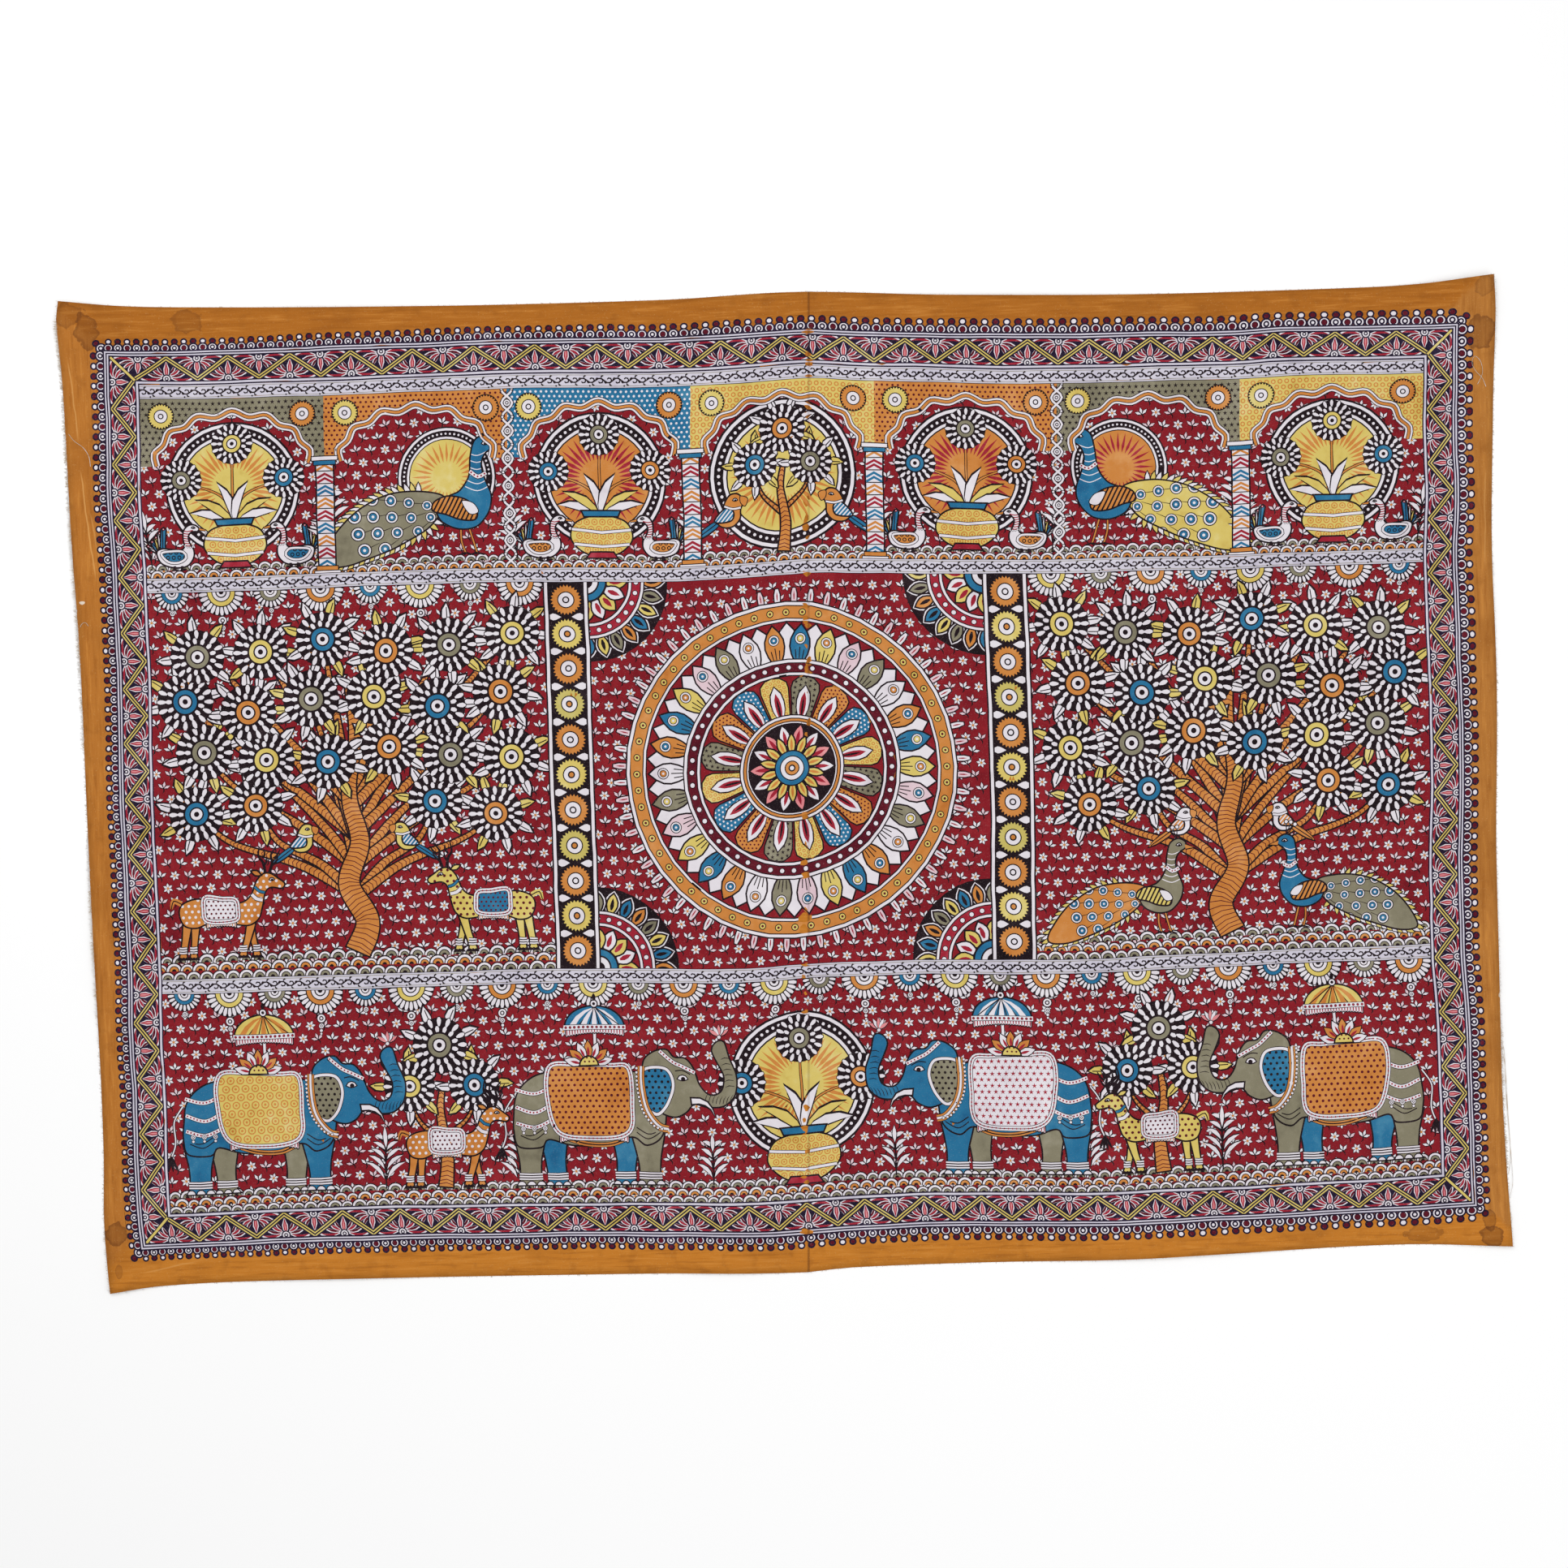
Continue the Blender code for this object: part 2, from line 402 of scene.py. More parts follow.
def scallop(pen, dark):
    """One scallop of the outer edge with its dot. dark says which of the two kinds it is."""
    unit = circle(0, 1, 14)
    dot = 12.0j + 3.5 * unit.real + 3.1j * unit.imag
    crescent = 4.0j + 5.6 * unit.real + 5.2j * unit.imag
    pen.outlined(dot, "maroon" if dark else "white", SCALLOP_LINE, "indigo")
    pen.outlined(crescent, "white", SCALLOP_LINE, "indigo")
    if dark:
        pen.rings(4.0j, 3.3, (1, "indigo"), (0.48, "white"))
    else:
        pen.rings(4.0j, 3.5, (1, "indigo"), (0.80, "maroon"))


def half_lotus(pen, half_width, height):
    """A lotus seen from the side, standing on the line y = 0."""
    base = 3.0
    for side in (-1, 1):
        for k in range(PETALS):
            lean = 27 + 18.5 * k
            reach = height * 0.92 + (half_width - height * 0.84) * (k / (PETALS - 1)) ** 2
            start = base * 1j + 5.0 * turned(90 - side * lean)
            end = base * 0.5j + reach * turned(90 - side * (lean + 3))
            run = end - start
            bend = -side * PETAL_BEND
            petal = lens(start, end, PETAL_WIDTH, bend, (0.3, 0.8, 1, 0.7, 0))
            core = lens(start + 0.08 * run, end - 0.14 * run, PETAL_CORE_WIDTH, bend, (0.4, 0.9, 1, 0.6, 0))
            pen.fill(petal, "white")
            pen.fill(core, "crimson" if k % 2 else "maroon")
    pen.outlined(lens(4j, height * 1.04j, 8.4, 0, BUD_WIDTHS), "white", 1.8, "indigo")
    pen.fill(lens(5j, height * 0.92j, 4.4, 0, BUD_WIDTHS), "crimson")
    pen.fill(lens(7j, height * 0.76j, 1.6, 0, BUD_WIDTHS), "rose")
    pen.rings(base * 1j, 5.2, (1, "indigo"), (0.74, "white"), (0.46, "indigo"), (0.22, "white"))


def strokes(pen, points, layers):
    """Strokes on each other along the same points, the first one lowest."""
    for width, dye in layers:
        pen.stroke(points, width, dye)


def lotus_band(pen, half_length, pitch):
    """The band along one side, from mitre to mitre. y = 0 is its outer edge and it lies below that."""
    depth = BAND
    far = half_length - depth
    corners = [-half_length, half_length, far - 1j * depth, -far - 1j * depth]
    pen.fill(np.concatenate([np.linspace(a, b, 60)[:-1] for a, b in zip(corners, np.roll(corners, -1))]),
             "indigo")
    count = round(2 * far / pitch)
    pitch = 2 * far / count
    for k in range(count):
        half_lotus(pen.at(-far + pitch * (k + 0.5) - 1j * depth), pitch * 0.44, depth * 0.84)
        if k:
            half_lotus(pen.at(-far + pitch * k, turn=180), pitch * 0.44, depth * 0.84)
    for side in (-1, 1):
        half_lotus(pen.at(side * (half_length + far - pitch / 2) / 2, turn=180), pitch * 0.42, depth * 0.80)
    points = []
    for k in range(count):
        points.append(-far + pitch * k - 1j * (depth - ZIGZAG_INSET))
        points.append(-far + pitch * (k + 0.5) - 1j * ZIGZAG_INSET)
    points.append(far - 1j * (depth - ZIGZAG_INSET))
    strokes(pen, np.array(points), ZIGZAG)
    for side in (-1, 1):
        mitre = np.array([side * half_length, side * far - 1j * depth])
        strokes(pen, mitre, MITRE)


def frame_line(pen, depth, width, dye):
    """A closed line all round, this far inside the outer edge of the double line."""
    x, y = HALF.real - depth, HALF.imag - depth
    corners = [complex(-x, -y), complex(x, -y), complex(x, y), complex(-x, y)]
    points = []
    for a, b in zip(corners, np.roll(corners, -1)):
        points.append(np.linspace(a, b, max(2, round(abs(b - a) / POINT_EVERY)), endpoint=False))
    pen.stroke(np.concatenate(points), width, dye, closed=True)


def scallops(pen, half_length, first, last):
    """A row of scallops whose pitch changes evenly along the side."""
    count = round(4 * half_length / (first + last))
    scale = 4 * half_length / (first + last) / count
    for k in range(count):
        share = (k + 0.5) / count
        x = -half_length + scale * count * (first * share + (last - first) * share * share / 2)
        own = first + (last - first) * share
        scallop(pen.at(x, own / SCALLOP_PITCH), k % 2)


def draw_border(pen):
    for side, half_length in side_pens(pen):
        scallop(side.at(-half_length + 0j, turn=45), True)
    for (side, half_length), sizes in zip(side_pens(pen), SIDES):
        scallops(side, half_length, sizes.first, sizes.last)
        lotus_band(side.at(-1j * DOUBLE_LINE), half_length - DOUBLE_LINE, sizes.lotus)
    for depth, width, dye in FRAME_LINES:
        frame_line(pen, depth, width, dye)


# Ornaments

RING_BEAD = ((1, "line"), (0.8, "white"), (0.48, "line"), (0.26, "white"))


def rosette(pen, dye, heart="white"):
    """A round flower of radius 18 with a fringed ring."""
    rays = 26
    pen.disc(0, 18.4, "line")
    edge = circle(0, 1, rays * 2)
    reach = np.where(np.arange(rays * 2) % 2, 14.8, 17.6)
    pen.fill(edge * reach, dye)
    pen.rings(0, 9.8, (1, "line"), (0.87, "white"), (0.42, "line"), (0.26, heart))


def rosette_column(pen, x, low, high):
    """Rosettes in a row between two white lines, with drops in the gaps."""
    half = 20.5
    count = round((high - low) / 41)
    pitch = (high - low) / count
    for side in (-1, 1):
        long_line(pen, x + side * (half + 2) + 1j * low, x + side * (half + 2) + 1j * high, 7.0, "line")
    long_line(pen, x + 1j * low, x + 1j * high, 2 * half, "line")
    for side in (-1, 1):
        long_line(pen, x + side * (half + 2) + 1j * low, x + side * (half + 2) + 1j * high, 3.4, "white")
    for k in range(count):
        y = low + pitch * (k + 0.5)
        dye = ("orange", "yellow", "orange", "straw")[k % 4]
        rosette(pen.at(x + 1j * y), dye, "white" if dye == "orange" else "orange")
        for side in (-1, 1):
            if k:
                tip = x + side * 6 + 1j * (y - pitch / 2)
                pen.fill(lens(tip, tip + side * 13, 8.4, 0, (0, 0.45, 0.85, 1, 0.6)), "white")


def bead_drop(pen, sizes, gap=0.6):
    """Beads hanging down from 0, each a radius and the dyes of its rings."""
    y = 0.0
    for radius in sizes:
        y -= radius
        if radius > 3:
            pen.rings(1j * y, radius, *RING_BEAD)
        else:
            pen.rings(1j * y, radius, (1, "line"), (0.68, "white"))
        y -= radius - gap
    return y


def pendant(pen, dye, petals=13, beads=(5.6, 3.4, 2.4, 1.8)):
    """Half a rosette of radius 26 hanging from y = 0, with beads under it."""
    pen.fill(circle(0, 26.5, 19, 180, 360), "line")
    for k in range(petals):
        way = turned(180 + 180 * (k + 0.5) / petals)
        pen.fill(lens(16 * way, 25.6 * way, 4.1, 0, (0.55, 0.85, 1, 0.6)), "white")
    for radius, ring in ((16.6, "line"), (15.4, dye), (11.0, "line"), (9.9, "white"), (6.6, "line"),
                         (5.2, "white"), (2.8, "line")):
        count = pen.count_round(radius, 0.6)
        pen.fill(circle(0, radius, count, 180, 360), ring)
    bead_drop(pen.at(-26j), beads)


def pendant_row(pen, left, right, top, dyes=("blue", "yellow", "grey", "orange"), size=1.0, pitch=58,
                first=0):
    """Large and small pendants in turn under a strip."""
    count = max(1, round((right - left) / pitch))
    step = (right - left) / count
    for k in range(count):
        large = (k + first) % 2
        beads = (5.6, 3.4, 2.4, 1.8) if large else (4.6, 2.6)
        pendant(pen.at(left + step * (k + 0.5) + 1j * top, size * (1.0 if large else 0.74)),
                dyes[(k + first) % len(dyes)], 13 if large else 11, beads)


def vine_strip(pen, left, right, middle, height):
    """A white strip across the cloth with a thin running vine of leaves, buds and dots."""
    long_line(pen, left + 1j * middle, right + 1j * middle, height, "line")
    long_line(pen, left + 1j * middle, right + 1j * middle, height - 1.4, "lilac")
    for side in (-1, 1):
        edge = 1j * (middle + side * (height / 2 - 2.4))
        long_line(pen, left + edge, right + edge, 0.6, "grey")
    waves = round((right - left) / 19)
    wave = (right - left) / waves
    rise = height * 0.15
    steps = np.arange(waves * 6 + 1)
    x = left + steps * wave / 6
    pen.stroke(x + 1j * (middle + rise * np.sin(steps * math.pi / 3)), 1.5, "line")
    for k in range(waves * 2):
        side = 1 if k % 2 == 0 else -1
        crest = left + wave * (k + 0.5) / 2 + 1j * (middle + side * rise)
        curl = crest + np.array([0, 2.2 - 1.0j * side, 3.4 - 2.8j * side, 2.4 - 4.8j * side,
                                 -0.2 - 5.2j * side,
                                 -1.5 - 3.8j * side])
        pen.stroke(curl, 1.4)
        pen.fill(lens(crest - 1, crest - 4.6 - 3.4j * side, 2.4, -side * 0.3, (0, 1, 0.8, 0)), "line")
        pen.fill(lens(crest + 1, crest + 4.4 + 2.6j * side, 2.0, side * 0.3, (0, 1, 0.8, 0)), "line")
        if k % 4 == 1:
            pen.fill(circle(crest - 1.6 + 3.4j * side, 1.1, 6), "line")


def chain_column(pen, x, low, high):
    """Two white cords winding round a row of beads."""
    count = max(2, round((high - low) / 15))
    pitch = (high - low) / count
    steps = np.arange(count * 4 + 1)
    y = low + steps * pitch / 4
    swing = 6.0 * np.cos(steps * math.pi / 4)
    for side in (-1, 1):
        pen.stroke(x + side * swing + 1j * y, 4.2, "line")
    for side in (-1, 1):
        pen.stroke(x + side * swing + 1j * y, 2.2, "white")
    for k in range(count + 1):
        middle = x + 1j * (low + pitch * k)
        if k % 2 == 0 and 0 < k < count:
            pen.rings(middle, 4.4, *RING_BEAD)
        for side in (-1, 1):
            if k % 2:
                pen.rings(middle + side * 5.6, 2.1, (1, "line"), (0.62, "white"))


def petal_flower(pen, dye, petals=16, rows=((30, 10, 5.2), (21, 8, 5.0))):
    """A round flower head. Each row of petals is its reach, its petals' length and their width."""
    for number, (reach, length, width) in enumerate(rows):
        count = petals - 3 * number
        pen.disc(0, reach - 1.0, "line")
        for k in range(count):
            way = turned(360 * (k + 0.5 * number) / count)
            start, end = (reach - length) * way, reach * way
            if number == 0:
                pen.fill(lens(start, end, width + 1.4, 0, (0.5, 0.95, 1, 0.5)), "line")
            pen.fill(lens(start, end - 0.8 * way, width - 0.6, 0, (0.35, 0.85, 1, 0.45)), "white")
    core = rows[-1][0] - rows[-1][1] + 1.2
    pen.rings(0, core, (1, "line"), (0.86, dye), (0.55, "line"), (0.44, "white"), (0.2, "line"))


def leaf_spray(pen, length, dye="white", leaves=4, width=4.6):
    """A stem from 0 upwards with pairs of leaves and one at its tip."""
    pen.stroke(np.array([0, length * 0.8j]), 1.6, "line")
    for k in range(leaves):
        y = length * (0.12 + 0.72 * k / leaves)
        reach = length * (0.42 - 0.05 * k)
        for side in (-1, 1):
            end = side * reach * 0.75 + 1j * (y + reach * 0.75)
            pen.fill(lens(1j * y, end, width + 1.4, side * 0.12), "line")
            pen.fill(lens(1j * y + 0.08 * end, end * 0.94 + 0.04j * y, width - 0.6, side * 0.12), dye)
    pen.fill(lens(length * 0.6j, length * 1j, width + 1.6), "line")
    pen.fill(lens(length * 0.64j, length * 0.97j, width - 0.4), dye)


def sprig(pen, kind):
    """A flower or a spray of three leaves about 15 across, which fills the ground."""
    if kind == 2:
        pen.fill(circle(0, 1, 12) * np.tile([7.2, 4.4], 6), "line")
        for k in range(6):
            pen.fill(lens(1.0 * turned(60 * k), 6.2 * turned(60 * k), 3.0, 0, (0.3, 1, 0)), "white")
        pen.fill(circle(0, 1.7, 5), "orange")
        return
    for lean in (0, 58, -58):
        way = turned(90 + lean)
        pen.fill(lens(-2j, -2j + 9.6 * way, 5.2, 0, (0.2, 1, 0.7, 0)), "line")
        pen.fill(lens(-2j + 1.2 * way, -2j + 8.6 * way, 3.2, 0, (0.2, 1, 0)), "white" if kind else "blush")
    pen.fill(lens(-2j, -8.0j, 1.6, 0.2, (1, 1, 0.3)), "line")


def sprigs(pen, corner, far, pitch=16.5):
    """Sprays in staggered rows over a rectangle, each turned a little."""
    rows = round((far.imag - corner.imag) / (pitch * 0.87))
    for row in range(rows):
        count = round((far.real - corner.real) / pitch)
        for k in range(count):
            x = corner.real + pitch * (k + 0.25 + 0.5 * (row % 2))
            y = corner.imag + pitch * 0.87 * (row + 0.5)
            sprig(pen.at(x + 1j * y, 0.94, 25 * math.sin(k * 2.3 + row * 1.7)), (k + 2 * row) % 3)


def parasol(pen, dye="yellow", gores="orange"):
    """A fringed umbrella 70 wide on a staff 48 high."""
    pen.stroke(np.array([0, 48j]), 4.4)
    pen.stroke(np.array([0, 48j]), 2.8, "white")
    fringe(pen, -34 + 46j, 34 + 46j, 9, bow=-0.05)
    dome = circle(0, 35, 17, 0, 180)
    pen.outlined(46j + dome.real + 0.74j * dome.imag, dye)
    for x in (-26, -13, 0, 13, 26):
        pen.fill(lens(70j, x + 48j, 6.4, 0.004 * x, (0, 0.5, 0.8, 1)), gores)
        pen.stroke(np.array([71j, x + 6.5 + 47j]), FINE)
    hem = np.array([-36 + 47j, 36 + 47j])
    banded(pen, hem, ((6.4, "line"), (5.0, "white")))
    beads_along(pen, hem, 1.7, 5.2, (("line", 1), ("crimson", 0.7)))
    pen.rings(74j, 5, (1, "line"), (0.72, "white"), (0.36, "line"))
    pen.fill(lens(77j, 86j, 4.6), "line")


# Cloth patterns

def staggered(outline, pitch, turn=0.0):
    """Places inside an outline on a staggered grid."""
    way = turned(turn)
    local = outline / way
    x = np.arange(local.real.min() - pitch, local.real.max() + pitch, pitch)
    y = np.arange(local.imag.min() - pitch, local.imag.max() + pitch, pitch * 0.87)
    shift = (np.arange(len(y)) % 2)[:, None] * pitch / 2
    places = ((x[None, :] + shift) + 1j * y[:, None]).ravel() * way
    return places[inside(outline, places)]


def star(middle, radius, points=6, first=0.0):
    reach = np.where(np.arange(points * 2) % 2, radius * 0.36, radius)
    return middle + turned(first) * circle(0, 1, points * 2) * reach


def pattern(pen, number, kind, pitch=6.0, dye="maroon", turn=0.0):
    """Covers a shape that is already drawn with small dots, rings, stars or stripes."""
    outline = pen.shapes[number].points
    ground = pen.shapes[number].dye
    over = pen.inside_of(number)
    if kind == "stripes":
        stripes(over, outline, pitch, dye, turn)
        return
    for place in staggered(outline, pitch, turn):
        if kind == "dots":
            over.fill(circle(place, pitch * 0.24, 7), dye)
        elif kind == "rings":
            over.fill(circle(place, pitch * 0.38, 9), dye)
            over.fill(circle(place, pitch * 0.21, 7), ground)
        elif kind == "eyes":
            over.fill(circle(place, pitch * 0.42, 10), dye)
            over.fill(circle(place, pitch * 0.30, 8), ground)
            over.fill(circle(place, pitch * 0.14, 6), dye)
        elif kind == "stars":
            over.fill(star(place, pitch * 0.40, 5, 18), dye)


def stripes(over, outline, pitch, dye, turn, bow=0.0):
    """Even stripes across an outline, bowed like a hanging cloth's."""
    way = turned(turn)
    local = outline / way
    low, high = local.real.min(), local.real.max()
    x = np.linspace(low, high, max(3, round((high - low) / 8)))
    sag = bow * (1 - ((2 * x - low - high) / (high - low)) ** 2)
    y = local.imag.min() - pitch
    while y < local.imag.max() + pitch:
        over.stroke((x + 1j * (y - sag)) * way, pitch * 0.42, dye)
        y += pitch


def fringe(pen, start, end, depth, dye="crimson", ground="white", pitch=3.2, bow=0.0):
    """A pleated hem hanging to the right of start to end, scalloped at its lower edge."""
    run = end - start
    down = -1j * run / abs(run) * depth
    count = max(3, round(abs(run) * abs(pen.size) / pitch))
    t = np.linspace(0, 1, count + 1)
    top = start + run * t - 1j * run * bow * 4 * t * (1 - t)
    low = top + down
    between = (low[1:] + low[:-1]) / 2 + down * 0.14
    edge = np.empty(len(low) + len(between), complex)
    edge[0::2], edge[1::2] = low, between
    pen.outlined(np.concatenate([top, edge[::-1]]), ground, 1.2)
    for k in range(count):
        a, b = (top[k] + top[k + 1]) / 2, between[k]
        pen.fill(lens(a + (b - a) * 0.1, a + (b - a) * 0.88, pitch * 0.42 / abs(pen.size), 0,
                      (0.7, 1, 0.9, 0.5)), dye)


def beads_along(pen, points, radius, pitch, dyes=(("line", 1), ("white", 0.66))):
    """Beads at even steps along a line of points."""
    points = np.asarray(points, complex)
    along = np.append(0, np.cumsum(np.abs(np.diff(points))))
    count = max(2, round(along[-1] / pitch))
    for at in (np.arange(count) + 0.5) * along[-1] / count:
        middle = complex(np.interp(at, along, points.real), np.interp(at, along, points.imag))
        for dye, share in dyes:
            pen.fill(circle(middle, radius * share, 7), dye)


def banded(pen, points, widths_and_dyes):
    """Lines of falling width on each other, such as a trimmed edge."""
    for width, dye in widths_and_dyes:
        pen.stroke(points, width, dye)


# Animals, each facing right with its feet at y = 0

def eye(pen, middle, size):
    pen.outlined(lens(middle - size, middle + size, size * 1.1, 0.1, (0, 0.8, 1, 0.8, 0)), "white", FINE)
    pen.disc(middle + 0.1 * size, size * 0.42, "line")


def anklets(pen, middle, half, count=3):
    for k in range(count):
        y = middle + 3.2j * k
        pen.stroke(np.array([y - half, y - 0.5j, y + half]), 3.2, "line")
        pen.stroke(np.array([y - half, y - 0.5j, y + half]), 1.6, "white")


def leg(pen, top, foot, width, dye, hoof="white"):
    """A leg from top down to foot, a little wider at each end."""
    knee = (top + foot) / 2
    left = [top - width * 0.62, knee - width * 0.42, foot + 6j - width * 0.42, foot - width * 0.58]
    right = [foot + width * 0.62, foot + 6j + width * 0.42, knee + width * 0.42, top + width * 0.62]
    pen.outlined(np.concatenate([pen.curve(left, False), pen.curve(right, False)]), dye)
    toe = width * 0.36
    for k in (-1, 0, 1):
        pen.outlined(foot + 0.5 * toe * 2 * k + circle(0.6j, toe * 0.46, 6, 0, 180), hoof, FINE)
    anklets(pen, foot + 9j, width * 0.43)


def saddle_cloth(pen, points, dye, kind, pitch, ink, hem, hem_dye="crimson"):
    """A trimmed cloth over an animal's back. hem is the start and end of its fringed lower edge."""
    fringe(pen, hem[0], hem[1], 10, hem_dye, bow=-0.06)
    number = pen.blob(points, dye)
    pattern(pen, number, kind, pitch, ink)
    edge = pen.curve(points)
    banded(pen, np.append(edge, edge[0]), ((6.2, "line"), (4.8, "white"), (0.9, "line")))
    beads_along(pen, np.append(edge, edge[0]), 1.1, 5.2, (("crimson", 1),))


def elephant(pen, dye="blue", cloth="yellow", kind="eyes", pitch=11, ink="orange", far="grey"):
    """About 250 wide and 200 high."""
    leg(pen, -54 + 60j, -50 + 0j, 30, far)
    leg(pen, 40 + 60j, 36 + 0j, 30, far)
    pen.line([-104 + 112j, -116 + 92j, -114 + 66j, -120 + 48j], 3.4)
    pen.line([-104 + 112j, -116 + 92j, -114 + 66j, -120 + 48j], 1.4, "white")
    for lean in (-24, -8, 8, 24):
        pen.brush([-120 + 50j, -121 + 50j + 20 * turned(-90 + lean)], 3.0, "line")
    leg(pen, -84 + 64j, -84 + 0j, 34, dye)
    leg(pen, 66 + 64j, 68 + 0j, 34, dye)
    body = [-104 + 88j, -98 + 118j, -76 + 138j, -36 + 146j, 14 + 144j, 56 + 140j, 84 + 122j, 90 + 92j,
            84 + 62j, 64 + 50j, 46 + 60j, 10 + 50j, -30 + 50j, -60 + 58j, -70 + 48j, -98 + 50j, -104 + 68j]
    pen.blob(body, dye)
    for reach in (0, 6):
        pen.line([-96 + reach + 64j, -80 + 58j + 1j * reach, -66 + 66j + 1j * reach], FINE)
        pen.line([52 + 66j + 1j * reach, 66 + 58j + 1j * reach, 82 - reach + 66j], FINE)
    for y, sag in ((126, 10), (104, 12), (84, 10)):
        strap = pen.curve([-52 + 1j * y, -76 + 1j * (y - sag), -101 + 1j * (y - 4)], False)
        banded(pen, strap, ((5.4, "line"), (4.0, "white")))
        beads_along(pen, strap, 1.2, 4.4, (("crimson", 1),))
    for x in (-92, -78, -64):
        bead_drop(pen.at(x + 76j), (3.6, 2.4))
    girth = pen.curve([-40 + 60j, -10 + 51j, 20 + 51j, 42 + 60j], False)
    banded(pen, girth, ((6, "line"), (4.6, "orange"), (1.4, "line")))
    saddle_cloth(pen, [-56 + 150j, -20 + 152j, 20 + 150j, 44 + 146j, 47 + 104j, 42 + 66j, 0 + 58j, -46 + 66j,
                       -60 + 108j], cloth, kind, pitch, ink, (-46 + 64j, 42 + 64j))
    head = [62 + 150j, 74 + 166j, 92 + 170j, 102 + 160j, 116 + 158j, 126 + 146j, 134 + 124j, 146 + 112j,
            160 + 116j, 164 + 134j, 156 + 152j, 150 + 168j, 156 + 178j, 166 + 178j, 172 + 158j, 180 + 136j,
            178 + 112j, 164 + 98j, 144 + 96j, 126 + 100j, 116 + 90j, 100 + 84j, 80 + 92j, 66 + 112j]
    pen.blob(head, dye)
    for k in range(9):
        a = 140 + 4.5 * k + 1j * (104 - 4 * math.sin(k / 2.6))
        pen.brush([a, a + 1.5 + 6j, a + 4 + 10j], 1.0, widths=(0.6, 1, 0.3))
    for k in range(6):
        a = 170.5 + 1j * (122 + 7 * k) - 0.9 * k
        pen.brush([a + 6.5, a + 1j, a - 5 - 1j], 1.0, widths=(0.6, 1, 0.3))
    petal = pen.at(160 + 184j, 0.62)
    for lean in (-52, -26, 0, 26, 52):
        petal.fill(lens(0, 28 * turned(90 + lean), 10), "line")
        petal.fill(lens(2j, 26 * turned(90 + lean), 7), "white" if lean % 52 else "rose")
    petal.rings(0, 5, (1, "line"), (0.7, "white"))
    pen.outlined(lens(122 + 104j, 152 + 84j, 8.5, 0.22, (1, 0.9, 0.7, 0.35, 0)), "white")
    ear = pen.blob([70 + 146j, 92 + 144j, 100 + 126j, 94 + 104j, 80 + 88j, 66 + 96j, 58 + 118j, 60 + 138j],
                   far)
    pattern(pen, ear, "dots", 7, "line")
    edge = pen.curve([70 + 146j, 92 + 144j, 100 + 126j, 94 + 104j, 80 + 88j, 66 + 96j, 58 + 118j, 60 + 138j])
    banded(pen, np.append(edge, edge[0]), ((4.6, "line"), (3.0, "white")))
    eye(pen, 112 + 132j, 7)
    pen.line([103 + 142j, 112 + 143j, 122 + 138j], 1.3)
    brow = pen.curve([84 + 168j, 100 + 154j, 112 + 148j, 128 + 140j], False)
    banded(pen, brow, ((5.4, "line"), (3.8, "white")))
    beads_along(pen, brow, 1.2, 4.6, (("crimson", 1),))
    collar = pen.curve([60 + 148j, 60 + 118j, 66 + 92j, 80 + 74j, 92 + 70j], False)
    banded(pen, collar, ((9, "line"), (7.4, "orange"), (3.6, "line"), (2.4, "white")))
    beads_along(pen, collar - 5.5, 2.3, 5.2)
    howdah = pen.at(-6 + 150j)
    for k in range(7):
        way = turned(90 + 25 * (k - 3))
        howdah.fill(lens(6 * way, 33 * way, 12.6), "line")
        howdah.fill(lens(8 * way, 31 * way, 10.0), ("white", "orange")[k % 2])
        howdah.fill(lens(10 * way, 24 * way, 3.4), "crimson")
    howdah.outlined(circle(0, 12, 9, 0, 180), "yellow")
    pattern(howdah, len(howdah.shapes) - 1, "dots", 5, "maroon")


def deer(pen, dye="orange", spot="white", cloth="white"):
    """About 130 wide and 130 high."""
    leg(pen, -40 + 52j, -44 + 0j, 11, dye, "line")
    leg(pen, 30 + 52j, 40 + 0j, 11, dye, "line")
    leg(pen, -50 + 54j, -58 + 0j, 12, dye, "line")
    leg(pen, 36 + 54j, 22 + 0j, 12, dye, "line")
    body = [-56 + 72j, -62 + 60j, -56 + 44j, -40 + 40j, -20 + 46j, 8 + 44j, 30 + 42j, 44 + 50j, 50 + 66j,
            54 + 84j, 62 + 90j, 76 + 88j, 80 + 94j, 72 + 101j, 62 + 108j, 52 + 108j, 42 + 98j, 34 + 80j,
            20 + 72j, -8 + 74j, -36 + 78j]
    number = pen.blob(body, dye, step=2.4)
    pattern(pen, number, "dots", 7.2, spot)
    saddle_cloth(pen, [-26 + 80j, -4 + 78j, 14 + 76j, 17 + 62j, 14 + 50j, -6 + 47j, -26 + 50j, -29 + 64j],
                 cloth, "dots", 5.4, "maroon", (-26 + 50j, 14 + 50j), "orange")
    pen.outlined(lens(50 + 106j, 36 + 112j, 7), dye)
    for side, lean in ((0, 100), (5, 72)):
        root = 55 + side + 108j
        way = turned(lean)
        pen.brush([root, root + 14 * way, root + 24 * way * turned(10), root + 36 * way], 3.4, "line",
                  (1, 1, 0.7, 0.4))
        for reach in (12, 22):
            pen.brush([root + (reach - 2) * way, root + (reach + 2) * way + 4, root + (reach + 10) * way + 6],
                      2.4, "line", (1, 1, 0.4), 2.0)
    eye(pen, 63 + 100j, 3.6)
    collar = pen.curve([36 + 82j, 42 + 76j, 50 + 74j], False)
    banded(pen, collar, ((5, "line"), (3.4, "white")))
    collar = pen.curve([40 + 92j, 46 + 86j, 53 + 84j], False)
    banded(pen, collar, ((4, "line"), (2.4, "blue")))
    pen.brush([-58 + 72j, -68 + 76j, -72 + 66j], 6, dye, (1, 1, 0.4))
    pen.line([-58 + 72j, -68 + 76j, -72 + 66j], FINE)


